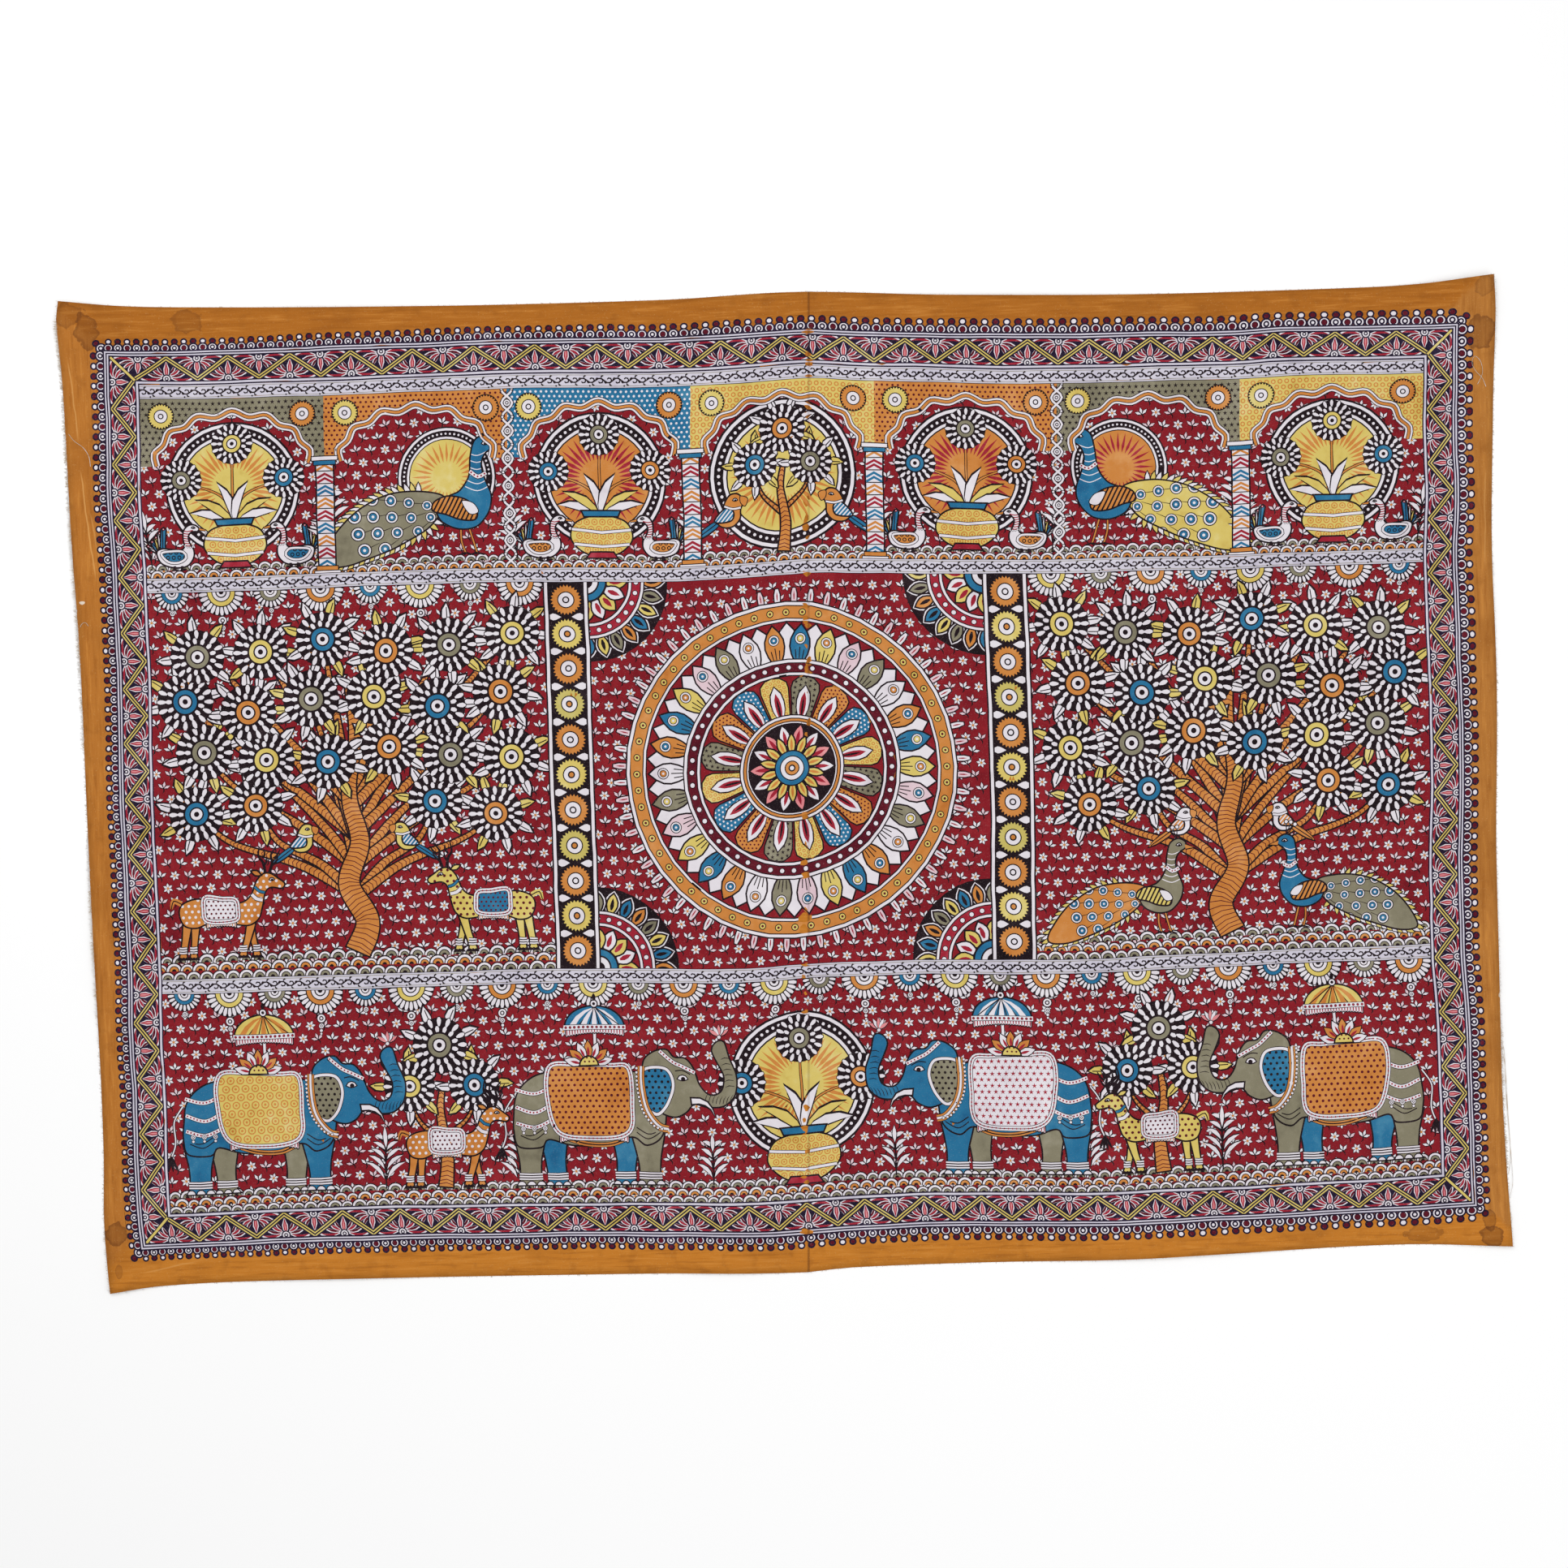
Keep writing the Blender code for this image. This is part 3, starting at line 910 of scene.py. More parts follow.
def feather_eye(pen, middle, radius, dye="blue"):
    pen.rings(middle, radius, (1, "line"), (0.86, "white"), (0.64, "line"), (0.52, dye), (0.22, "white"))


def peacock(pen, dye="blue", wing="orange", train="grey"):
    """About 170 wide and 150 high, its train hanging to the left."""
    for lean in (0, 8):
        foot = 18 + 1.6 * lean
        pen.line([14 + lean + 34j, foot - 4 + 16j, foot + 2j], 3.4)
        pen.line([14 + lean + 34j, foot - 4 + 16j, foot + 2j], 1.6, "orange")
        for toe in (-9, -2, 8):
            pen.brush([foot + 3j, foot + toe + 0.6j], 2.4, "line", (1, 0.6))
    outline = [-2 + 64j, -34 + 72j, -72 + 66j, -106 + 46j, -128 + 20j, -138 - 4j, -116 - 8j, -82 + 2j,
               -48 + 16j,
               -16 + 36j]
    edge = pen.curve(outline)
    for k, tip in enumerate(edge[10:-8:2]):
        way = tip - (-30 + 44j)
        way = way / abs(way)
        pen.fill(lens(tip - 5 * way, tip + 11 * way, 7.4, 0, (0.5, 1, 0.8, 0)), "line")
        pen.fill(lens(tip - 5 * way, tip + 9 * way, 5.0, 0, (0.5, 1, 0.8, 0)), ("white", "yellow")[k % 2])
    number = pen.outlined(edge, train)
    over = pen.at(0, within=number)
    for row, reach in enumerate((26, 46, 66, 86, 106)):
        count = 2 + row
        for k in range(count):
            way = turned(164 + (k + 0.5) * 62 / count + 1.5 * row)
            spot = 4 + 56j + reach * way
            over.brush([4 + 56j + (reach - 18) * way, spot], 1.2, "line", (0.4, 1))
            feather_eye(over, spot, 6.0 + 0.5 * row, "blue" if train != "blue" else "orange")
    body = [-12 + 58j, -8 + 40j, 10 + 30j, 30 + 32j, 44 + 46j, 48 + 64j, 42 + 82j, 38 + 98j, 42 + 110j,
            52 + 118j,
            50 + 126j, 40 + 130j, 30 + 124j, 26 + 108j, 24 + 88j, 14 + 72j, 2 + 66j]
    number = pen.blob(body, dye, step=2.4)
    over = pen.at(0, within=number)
    for k in range(6):
        y = 76 + 7.5 * k
        over.line([20 + 1j * y, 33 + 1j * (y - 5), 46 + 1j * y], 1.0, "white")
    number = pen.blob([-14 + 60j, 0 + 66j, 20 + 62j, 32 + 50j, 30 + 40j, 14 + 40j, -2 + 46j, -16 + 50j], wing)
    stripes(pen.inside_of(number), pen.shapes[number].points, 4.6, "line", 62)
    pen.outlined(pen.curve([16 + 60j, 28 + 58j, 34 + 48j, 24 + 46j]), "white", 1.0)
    pen.fill([50 + 123j, 66 + 116j, 51 + 114j], "line")
    pen.fill([50 + 121.6j, 62 + 117j, 51 + 115.6j], "orange")
    eye(pen, 42 + 121j, 3.8)
    for lean in (-34, -12, 10):
        way = turned(96 - lean)
        pen.stroke(np.array([39 + 129j, 39 + 129j + 15 * way]), 1.2)
        pen.rings(39 + 129j + 17 * way, 3.4, (1, "line"), (0.66, "white"))
    collar = pen.curve([25 + 92j, 34 + 86j, 43 + 90j], False)
    banded(pen, collar, ((5.6, "line"), (4.0, "white")))
    beads_along(pen, collar, 1.1, 4.0, (("crimson", 1),))


def parrot(pen, dye="yellow", wing="blue"):
    """About 60 long, perched with its feet at 0."""
    pen.fill(lens(-6 + 8j, -38 - 14j, 9.5, 0, (0.6, 1, 1, 0.8, 0.1)), "line")
    pen.fill(lens(-6 + 8j, -36 - 12j, 6.5, 0, (0.6, 1, 1, 0.8, 0.1)), wing)
    pen.stroke(np.array([-8 + 7j, -34 - 11j]), FINE)
    body = [-10 + 10j, -4 + 2j, 8 + 2j, 16 + 10j, 17 + 20j, 20 + 28j, 15 + 36j, 6 + 36j, 0 + 29j, -3 + 20j]
    pen.blob(body, dye, step=2.4)
    number = pen.blob([-12 + 8j, 0 + 22j, 9 + 18j, 6 + 8j], wing, step=2.4)
    stripes(pen.inside_of(number), pen.shapes[number].points, 3.6, "white", 50)
    pen.outlined(pen.curve([17 + 34j, 25 + 31j, 22 + 23j, 17 + 27j], step=2), "orange", 1.0)
    eye(pen, 11 + 30j, 2.8)
    banded(pen, pen.curve([-1 + 24j, 8 + 21j, 17 + 22j], False), ((3.6, "line"), (2.0, "white")))


def swan(pen, dye="white", wing="yellow"):
    """About 120 wide and 100 high, with a curled plume for a tail."""
    for k in range(5):
        tip = -62 + 9 * k + 1j * (52 + 9 * k)
        plume = ("white", "blue", "yellow", "white", "blue")[k]
        pen.blob([-34 + 26j, (-50 + 3 * k) + 1j * (34 + 2 * k), tip - 6 - 4j, tip, tip + 5 - 5j,
                  (-38 + 3 * k) + 1j * (42 + 2 * k), -26 + 34j], plume, step=4)
        pen.line([-34 + 30j, (-44 + 3 * k) + 1j * (38 + 2 * k), tip - 3 - 6j], FINE)
        pen.rings(tip - 1 - 4j, 3.4, (1, "line"), (0.66, "crimson"), (0.3, "white"))
    body = [-46 + 34j, -38 + 12j, -12 + 2j, 18 + 4j, 34 + 20j, 36 + 38j, 28 + 54j, 26 + 68j, 34 + 78j,
            46 + 78j,
            50 + 84j, 42 + 92j, 28 + 92j, 16 + 80j, 14 + 60j, 16 + 46j, 8 + 38j, -14 + 40j, -34 + 42j]
    number = pen.blob(body, dye, step=2.6)
    over = pen.at(0, within=number)
    for k in range(7):
        y = 50 + 5.2 * k
        over.line([12 + 1j * y, 24 + 1j * (y - 3), 36 + 1j * y], FINE, "crimson")
    number = pen.blob([-36 + 32j, -22 + 14j, 2 + 12j, 18 + 22j, 12 + 34j, -10 + 36j], wing)
    pattern(pen, number, "rings", 6.4, "orange" if wing == "yellow" else "line")
    edge = pen.curve([-36 + 32j, -22 + 14j, 2 + 12j, 18 + 22j, 12 + 34j, -10 + 36j])
    banded(pen, np.append(edge, edge[0]), ((3.8, "line"), (2.2, "white")))
    pen.outlined([48 + 87j, 64 + 82j, 66 + 79j, 50 + 80j], "orange", 1.0)
    eye(pen, 37 + 86j, 4)
    beads_along(pen, pen.curve([10 + 52j, 24 + 44j, 37 + 46j], False), 2.6, 5.4)
    bead_drop(pen.at(64 + 80j), (2.6, 3.4, 2.6, 1.8))
    for lean in (-8, 8):
        pen.line([lean + 5j, lean + 1 - 4j], 3.0)
        pen.brush([lean - 6 - 4.4j, lean + 1 - 3j, lean + 8 - 4.4j], 2.6, "line")


# Compositions

def petal_ring(pen, count, inner, outer, width, dyes, core=None, first=0.0):
    """A ring of petals round 0. core is the dye of a stroke in each petal."""
    for k in range(count):
        way = turned(first + 360 * k / count)
        pen.outlined(lens(inner * way, outer * way, width, 0, (0.45, 0.8, 1, 0.95, 0.6, 0)),
                     dyes[k % len(dyes)])
        if core:
            span = outer - inner
            pen.fill(lens((inner + span * 0.16) * way, (outer - span * 0.24) * way, width * 0.34, 0,
                          (0.4, 1, 0.8, 0)), core)


def bead_ring(pen, radius, count, size, kinds=RING_BEAD):
    for k in range(count):
        pen.rings(radius * turned(360 * k / count), size, *kinds)


def arched_ring(pen, count, inner, outer, fills):
    """A ring of round-headed arches. fills are (ground, pattern, pitch, ink) in turn."""
    step = 360 / count
    for k in range(count):
        middle = step * (k + 0.5)
        points = [inner * turned(middle - step * 0.46), inner * turned(middle),
                  inner * turned(middle + step * 0.46)]
        crown = (0.46, 0.70), (0.40, 0.86), (0.22, 0.97), (0.0, 1.0), (-0.22, 0.97), (-0.40, 0.86), (-0.46,
                                                                                                     0.70)
        for share, height in crown:
            points.append((inner + (outer - inner) * height) * turned(middle + step * share))
        ground, kind, pitch, ink = fills[k % len(fills)]
        number = pen.outlined(points, ground, 1.6)
        pattern(pen, number, kind, pitch, ink, middle)
        way = turned(middle)
        pen.fill(lens(inner * way, (outer - 9) * way, 17, 0, (0.5, 0.9, 1, 0.8, 0)), "line")
        pen.fill(lens(inner * way, (outer - 11) * way, 14, 0, (0.5, 0.9, 1, 0.8, 0)), "white")
        pen.fill(lens(inner * way, (outer - 18) * way, 7, 0, (0.5, 0.9, 1, 0.8, 0)), "crimson")
        pen.fill(lens(inner * way, (outer - 24) * way, 2.4, 0, (0.5, 0.9, 1, 0.8, 0)), "line")


def ringed_band(pen, outer, widths_and_dyes):
    """Plain rings inside each other, each a width and a dye, from the outside in."""
    radius = outer
    for width, dye in widths_and_dyes:
        pen.disc(0, radius, dye)
        radius -= width
    return radius


def medallion(pen):
    """A round of petals, arches and beads, 206 in radius."""
    for k in range(64):
        way = turned(360 * (k + 0.5) / 64)
        pen.fill(lens(184 * way, 204 * way, 8.6, 0, (0.8, 1, 1, 0.5)), "line")
        pen.fill(lens(184 * way, 202.6 * way, 5.8, 0, (0.8, 1, 1, 0.5)), ("white", "blush")[k % 2])
        pen.fill(lens(190 * way, 200 * way, 1.6, 0, (0.6, 1, 0)), "crimson")
    ringed_band(pen, 189, ((1.6, "line"), (3.2, "white"), (1.2, "line"), (13, "orange"), (1.2, "line"),
                           (2.4, "white"), (1.4, "line"), (30, "red")))
    bead_ring(pen, 176, 60, 4.2, ((1, "line"), (0.76, "yellow"), (0.36, "maroon")))
    petal_ring(pen, 30, 118, 164.5, 28, ("white",), None, 6)
    petal_ring(pen, 30, 120, 163, 23, ("yellow", "blue", "orange", "white", "grey", "blush"), None)
    for k in range(30):
        way = turned(12 * k)
        feather_eye(pen, 146 * way, 6.6, ("orange", "yellow", "blue")[k % 3])
        pen.stroke(np.array([124 * way, 137 * way]), 1.2)
        for side in (-3, 3):
            pen.stroke(np.array([124 * way * turned(side * 0.55), 134 * way * turned(side * 0.7)]), FINE)
    ringed_band(pen, 124, ((1.4, "line"), (3.0, "white"), (1.2, "line"), (9.6, "maroon"), (1.2, "line"),
                           (2.6, "white"), (1.4, "line"), (40, "red")))
    bead_ring(pen, 113.6, 52, 3.4, ((1, "line"), (0.74, "white")))
    arched_ring(pen, 16, 58, 104, (("yellow", "rings", 5.4, "orange"), ("blue", "dots", 5, "white"),
                                   ("orange", "dots", 4.6, "maroon"), ("grey", "stars", 6.4, "line")))
    ringed_band(pen, 60, ((1.4, "line"), (2.6, "white"), (1.2, "line"), (2.4, "orange"), (1.2, "line"),
                          (2, "white")))
    pen.disc(0, 50, "line")
    petal_ring(pen, 14, 22, 49, 12.5, ("white", "rose"), "crimson")
    petal_ring(pen, 14, 16, 38, 9.4, ("yellow",), "orange", 360 / 28)
    pen.rings(0, 20, (1, "line"), (0.93, "blue"), (0.70, "line"), (0.64, "white"), (0.42, "line"),
              (0.36, "orange"),
              (0.2, "line"), (0.12, "white"))


def hills(pen, left, right, rows=3, size=15):
    """Rows of scales for the ground, the lowest in front."""
    for row in range(rows):
        y = (rows - 1 - row) * size * 0.62
        count = round((right - left) / size)
        step = (right - left) / count
        for k in range(count + (row % 2)):
            x = left + step * (k + 0.5 - 0.5 * (row % 2))
            reach = size * 0.62 * (1 + 0.12 * math.sin(x * 0.21 + row))
            for share, dye in ((1, "line"), (0.86, "white"), (0.62, "line"),
                               (0.52, ("grey", "orange")[row % 2]),
                               (0.26, "line")):
                pen.fill(x + 1j * y + circle(0, reach * share, 9 if share > 0.6 else 7, 0, 180), dye)


def branch(pen, points, width, dye="orange"):
    """A limb that narrows along its length, marked with short arcs."""
    placed = pen.curve(points, False, 5.0)
    ahead = np.gradient(placed)
    ahead = ahead / np.abs(ahead)
    wide = np.linspace(1, 0.34, len(placed)) * width / 2
    number = pen.outlined(np.concatenate([placed - 1j * ahead * wide, (placed + 1j * ahead * wide)[::-1]]),
                          dye)
    over = pen.inside_of(number)
    for k in range(1, len(placed) - 1, 1):
        middle, out, half = placed[k], 1j * ahead[k], wide[k]
        mark = [middle - out * half, middle + ahead[k] * 2.4, middle + out * half]
        over.stroke(pen.to_picture(mark), 0.9, "maroon")
    return placed


def tree(pen, heads, trunk, limbs, width=26):
    """A flowering tree. heads are (place, size, dye), and limbs run from the trunk towards them."""
    for limb in limbs:
        branch(pen, limb, width * 0.42)
    branch(pen, trunk, width)
    for number, (place, size, dye) in enumerate(heads):
        way = place - (0 + 20j)
        for k in range(8):
            leaf = pen.at(place, size, np.degrees(np.angle(way)) + 22 + 45 * k)
            leaf.fill(lens(24, 47, 12, 0.06, (0.4, 1, 0.8, 0)), "line")
            leaf.fill(lens(24, 44, 8.6, 0.06, (0.4, 1, 0.8, 0)),
                      ("white", "yellow", "white")[(number + k) % 3])
            leaf.stroke(np.array([26, 40 + 0j]), FINE)
    for place, size, dye in heads:
        petal_flower(pen.at(place, size), dye)


def small_tree(pen, height=110, dyes=("blue", "grey", "orange")):
    """A little tree with three flower heads, its foot at y = 0."""
    k = height / 110
    heads = [((-23 + 72j) * k, 0.62 * k, dyes[0]), ((23 + 72j) * k, 0.62 * k, dyes[1]),
             (100j * k, 0.66 * k, dyes[2])]
    tree(pen, heads, [0, (2 + 24j) * k, (-2 + 52j) * k, 70j * k],
         [[(1 + 30j) * k, (-16 + 46j) * k, (-23 + 62j) * k],
          [(0 + 34j) * k, (16 + 48j) * k, (23 + 62j) * k]], 11 * k)


TREE_ROWS = (  # y, spacing, flower heads in the row, size
    (160, 68, 6, 1.08), (222, 70, 6, 1.12), (284, 72, 6, 1.12), (346, 72, 6, 1.08))


def tree_of_life(pen, dyes=("blue", "orange", "grey", "yellow"), birds=("yellow", "blue")):
    """A flowering tree that fills a place about 440 wide and 380 high, standing on y = 0."""
    heads, limbs = [], []
    for row, (y, spacing, count, size) in enumerate(TREE_ROWS):
        for k in range(count):
            x = (k - (count - 1) / 2) * spacing + (8 if row % 2 else -8)
            bob = 9 * math.sin(2.1 * k + 1.3 * row)
            if row == 0 and abs(x) < 60:
                continue
            heads.append((x + 1j * (y + bob), size * 0.98, dyes[(k + 2 * row) % 4]))
            root = 1j * (62 + 34 * row)
            limbs.append([root, x * 0.34 + 1j * (y * 0.42 + root.imag * 0.5), x * 0.78 + 1j * (y - 34),
                          x + 1j * (y + bob)])
    tree(pen, heads, [0, 12 + 34j, -8 + 76j, 6 + 124j, -4 + 176j, 4 + 240j, 0 + 300j], limbs, 30)
    for side in (-1, 1):
        parrot(pen.at(side * 62 + 112j, 0.9, mirrored=side > 0), *birds)


def pillar(pen, low, high, width=20):
    """A banded post on the line x = 0."""
    pen.outlined([-width / 2 + 1j * low, width / 2 + 1j * low, width / 2 + 1j * high,
                  -width / 2 + 1j * high], "white")
    y, k = low + 3, 0
    while y < high - 12:
        dye = ("blue", "crimson", "orange")[k % 3]
        for rise in (0, 5):
            chevron = np.array([-width / 2 + 1 + 1j * (y + rise), 1j * (y + rise + 5),
                                width / 2 - 1 + 1j * (y + rise)])
            pen.stroke(chevron, 2.6, dye)
        pen.stroke(np.array([-width / 2 + 1j * (y + 13), width / 2 + 1j * (y + 13)]), 1.2)
        y, k = y + 14, k + 1
    for y in (low, high):
        for wide, rise, dye in ((1.5, 0, "white"), (1.25, 5, "orange" if y == low else "blue")):
            up = rise if y == low else -rise
            half = wide * width / 2
            pen.outlined([-half + 1j * (y + up - 2.5), half + 1j * (y + up - 2.5), half + 1j * (y + up + 2.5),
                          -half + 1j * (y + up + 2.5)], dye, 1.1)


def arch_line(half, spring, crown, cusps=7):
    """A cusped arch from left to right."""
    points = []
    for k in range(cusps):
        for share in (0.0, 0.5):
            a = math.pi * (1 - (k + share) / cusps)
            swell = 1.0 if share else 0.90
            across = half * math.cos(a) * (1 if share else 0.95)
            points.append(across + 1j * (spring + (crown - spring) * math.sin(a) * swell))
    points.append(half * 0.95 + 1j * spring)
    points[0] = -half * 0.95 + 1j * spring
    return np.array(points, complex)


def niche(pen, half, height, ground, kind, pitch, ink):
    """An arched bay on posts. Above the arch it is filled with a patterned cloth."""
    spring, crown = height * 0.62, height * 0.93
    arch = smooth(arch_line(half - 14, spring, crown), 4, closed=False)
    top = np.array([half + 1j * spring, half + 1j * height, -half + 1j * height, -half + 1j * spring])
    number = pen.fill(np.concatenate([arch, top]), ground)
    pattern(pen, number, kind, pitch, ink)
    banded(pen, arch, ((10, "line"), (8.2, "white"), (4.4, "line"), (2.8, "orange")))
    for side in (-1, 1):
        rosette(pen.at(side * (half - 24) + 1j * (height - 20), 0.82), ("yellow", "orange")[side > 0])


def vase(pen, dyes=("blue", "orange", "grey")):
    """A full pot with three flower heads, about 150 high."""
    for lean, reach, dye in ((-38, 92, dyes[0]), (38, 92, dyes[1]), (0, 112, dyes[2])):
        way = turned(90 - lean)
        pen.brush([40j, 40j + reach * 0.4 * turned(90 - lean * 0.5), 20j + reach * way], 3.6, "line",
                  (1, 1, 0.7))
        pen.brush([40j, 40j + reach * 0.4 * turned(90 - lean * 0.5), 20j + reach * way], 1.8, "orange",
                  (1, 1, 0.7))
        petal_flower(pen.at(22j + reach * way, 0.78), dye)
    for lean in (-74, -56, -20, 20, 56, 74):
        way = turned(90 - lean)
        pen.fill(lens(44j, 44j + 52 * way, 12, 0.1 * np.sign(lean)), "line")
        pen.fill(lens(44j, 44j + 49 * way, 8.8, 0.1 * np.sign(lean)),
                 "yellow" if abs(lean) == 56 else "white")
        pen.stroke(np.array([44j, 44j + 42 * way]), FINE)
    number = pen.blob([-15 + 2j, 15 + 2j, 34 + 18j, 30 + 36j, 13 + 44j, -13 + 44j, -30 + 36j, -34 + 18j],
                      "yellow")
    pattern(pen, number, "eyes", 9, "orange")
    for y, half in ((30, 33), (14, 31)):
        banded(pen, np.array([-half + 1j * y, 1j * (y - 3), half + 1j * y]), ((4.2, "line"), (2.8, "white")))
    pen.outlined([-19 + 44j, 19 + 44j, 22 + 51j, -22 + 51j], "blue")
    pen.outlined([-18 - 2j, 18 - 2j, 13 + 5j, -13 + 5j], "crimson")


def halo(pen, middle, radius, dye="orange"):
    """A sun disc with a beaded edge and fine rays."""
    pen.rings(middle, radius, (1, "line"), (0.97, "white"), (0.925, "line"), (0.80, "white"), (0.76, "line"),
              (0.74, dye))
    beads_along(pen, middle + circle(0, radius * 0.862, 40), radius * 0.034, radius * 0.088)
    rays = round(radius * 0.5)
    for k in range(rays):
        way = turned(360 * k / rays)
        pen.fill(middle + lens(radius * 0.30 * way, radius * 0.71 * way, radius * 0.055, 0, (0.1, 1, 0.6, 0)),
                 "crimson" if dye == "orange" else "orange")


def quarter(pen):
    """The corner ornament, a round of petals of radius 92 that is seen only in part."""
    pen.disc(0, 92, "line")
    petal_ring(pen, 28, 62, 91, 19.5, ("white",))
    petal_ring(pen, 28, 64, 87, 13, ("orange", "blue", "yellow", "grey"), "line")
    ringed_band(pen, 66, ((1.4, "line"), (2.6, "white"), (1.2, "line"), (9, "crimson"), (1.2, "line"),
                          (2.6, "white"),
                          (1.4, "line"), (6, "red")))
    bead_ring(pen, 56, 28, 3.4, ((1, "line"), (0.74, "white")))
    petal_ring(pen, 16, 22, 46, 16, ("yellow", "white"), "crimson")
    pen.rings(0, 23, (1, "line"), (0.9, "blue"), (0.62, "line"), (0.54, "white"), (0.3, "line"))


# The field

STRIPS = (458.6, 241.5, -211.5)  # the white strips' middles
STRIP_HEIGHT = 17.0
COLUMN = 250.0  # from the middle of the cloth to each rosette column
NICHES = 7
NICHE_FILLS = (("yellow", "rings", 7.5, "orange"), ("blue", "dots", 6, "white"),
               ("orange", "dots", 6, "maroon"),
               ("grey", "stars", 7.5, "line"))


def niche_row(pen):
    """The top row: arched bays with pots, peacocks and a tree."""
    low, high = STRIPS[1] + STRIP_HEIGHT / 2, STRIPS[0] - STRIP_HEIGHT / 2
    height = high - low
    width = 2 * FIELD.real / NICHES
    for k in range(NICHES):
        x = -FIELD.real + width * (k + 0.5)
        bay = pen.at(x + 1j * low)
        order = abs(k - NICHES // 2)
        mirrored = k > NICHES // 2
        hills(bay, -width / 2, width / 2, 2, 13)
        if order == 0:
            halo(bay, 96j, 84, "yellow")
            small_tree(bay.at(10j), 150, ("blue", "grey", "orange"))
            for side in (-1, 1):
                parrot(bay.at(side * 66 + 40j, 1.05, mirrored=side > 0), "orange", "blue")
        elif order == 2:
            leaf_spray(bay.at(-96 * (-1 if mirrored else 1) + 10j), 96, "white", 6, 5.5)
            halo(bay.at(34 * (-1 if mirrored else 1) + 104j), 0, 56, "orange" if mirrored else "yellow")
            peacock(bay.at(34 * (-1 if mirrored else 1) + 14j, 1.04, mirrored=mirrored),
                    "blue", "orange", ("grey", "yellow")[mirrored])
        else:
            halo(bay, 98j, 76, ("yellow", "orange")[order == 1])
            for side in (-1, 1):
                leaf_spray(bay.at(side * 96 + 10j, turn=-6 * side), 66, "white", 5, 5)
                swan(bay.at(side * 66 + 10j, 0.52, mirrored=side > 0), "white",
                     ("blue", "orange")[order == 1])
            vase(bay.at(12j, 1.02), ("blue", "orange", "grey") if order == 1 else ("grey", "blue", "yellow"))
        niche(bay, width / 2, height, *NICHE_FILLS[(order + mirrored) % 4])
    for k in range(1, NICHES):
        x = -FIELD.real + width * k
        if k in (2, NICHES - 2):
            chain_column(pen, x, low, high)
        else:
            pillar(pen.at(x + 1j * low), 0, height * 0.64)


def tree_panels(pen):
    low, high = STRIPS[2] + STRIP_HEIGHT / 2, STRIPS[1] - STRIP_HEIGHT / 2
    edge = COLUMN + 24
    middle = (edge + FIELD.real) / 2
    half = (FIELD.real - edge) / 2
    for side in (-1, 1):
        pendant_row(pen, side * middle - half, side * middle + half, high, first=int(side > 0))
        panel = pen.at(side * middle + 1j * low, mirrored=side > 0)
        hills(panel, -half, half, 3, 15)
        tree_of_life(panel.at(24j), birds=("yellow", "blue") if side < 0 else ("white", "orange"))
        if side < 0:
            deer(panel.at(-150 + 22j, 0.86), "orange", "white", "white")
            deer(panel.at(150 + 22j, 0.86, mirrored=True), "yellow", "maroon", "blue")
        else:
            peacock(panel.at(-96 + 24j, 0.84), "blue", "orange", "grey")
            peacock(panel.at(96 + 24j, 0.84, mirrored=True), "grey", "yellow", "orange")


def centre_panel(pen):
    low, high = STRIPS[2] + STRIP_HEIGHT / 2, STRIPS[1] - STRIP_HEIGHT / 2
    half = COLUMN - 24
    panel = pen.fill([-half + 1j * low, half + 1j * low, half + 1j * high, -half + 1j * high], "red")
    sprigs(pen.at(0, within=panel), -half + 1j * low, half + 1j * high)
    for x in (-half, half):
        for y in (low, high):
            quarter(pen.at(x + 1j * y, within=panel))
    medallion(pen.at(1j * (low + high) / 2))


def procession(pen):
    """The bottom row, walking towards a pot in the middle."""
    low, high = -FIELD.imag, STRIPS[2] - STRIP_HEIGHT / 2
    pendant_row(pen, -FIELD.real, FIELD.real, high, pitch=52)
    hills(pen.at(1j * low), -FIELD.real, FIELD.real, 3, 14)
    ground = 1j * (low + 20)
    halo(pen, ground + 108j, 84, "yellow")
    vase(pen.at(ground, 1.2), ("blue", "orange", "grey"))
    for side in (-1, 1):
        row = pen.at(ground, mirrored=side > 0)
        small_tree(row.at(-410), 178, ("yellow", "blue", "grey"))
        for x, dyes in ((-614, ("yellow", "orange")), (-236, ("blue", "white"))):
            parasol(row.at(x + 3 + 132j, 0.98), *dyes)
        leaf_spray(row.at(-478), 74, "white", 5, 5)
        leaf_spray(row.at(-326), 66, "white", 5, 5)
        leaf_spray(row.at(-104), 58, "white", 4, 5)
        elephant(row.at(-614, 0.90), *(("blue", "yellow", "eyes", 11, "orange", "grey") if side < 0 else
                                       ("grey", "orange", "dots", 7, "maroon", "blue")))
        elephant(row.at(-236, 0.90), *(("grey", "orange", "dots", 7, "maroon", "blue") if side < 0 else
                                       ("blue", "white", "stars", 8, "crimson", "grey")))
        deer(row.at(-402, 0.84), "orange" if side < 0 else "yellow", "white" if side < 0 else "maroon",
             "white")


def draw_field(pen):
    pen.fill([-FIELD, complex(FIELD.real, -FIELD.imag), FIELD, complex(-FIELD.real, FIELD.imag)], "red")
    sprigs(pen, -FIELD, FIELD)
    niche_row(pen)
    tree_panels(pen)
    centre_panel(pen)
    procession(pen)
    low, high = STRIPS[2] + STRIP_HEIGHT / 2, STRIPS[1] - STRIP_HEIGHT / 2
    for x in (-COLUMN, COLUMN):
        rosette_column(pen, x, low, high)
    for middle in STRIPS:
        vine_strip(pen, -FIELD.real, FIELD.real, middle, STRIP_HEIGHT)


# From the drawing to the cloth

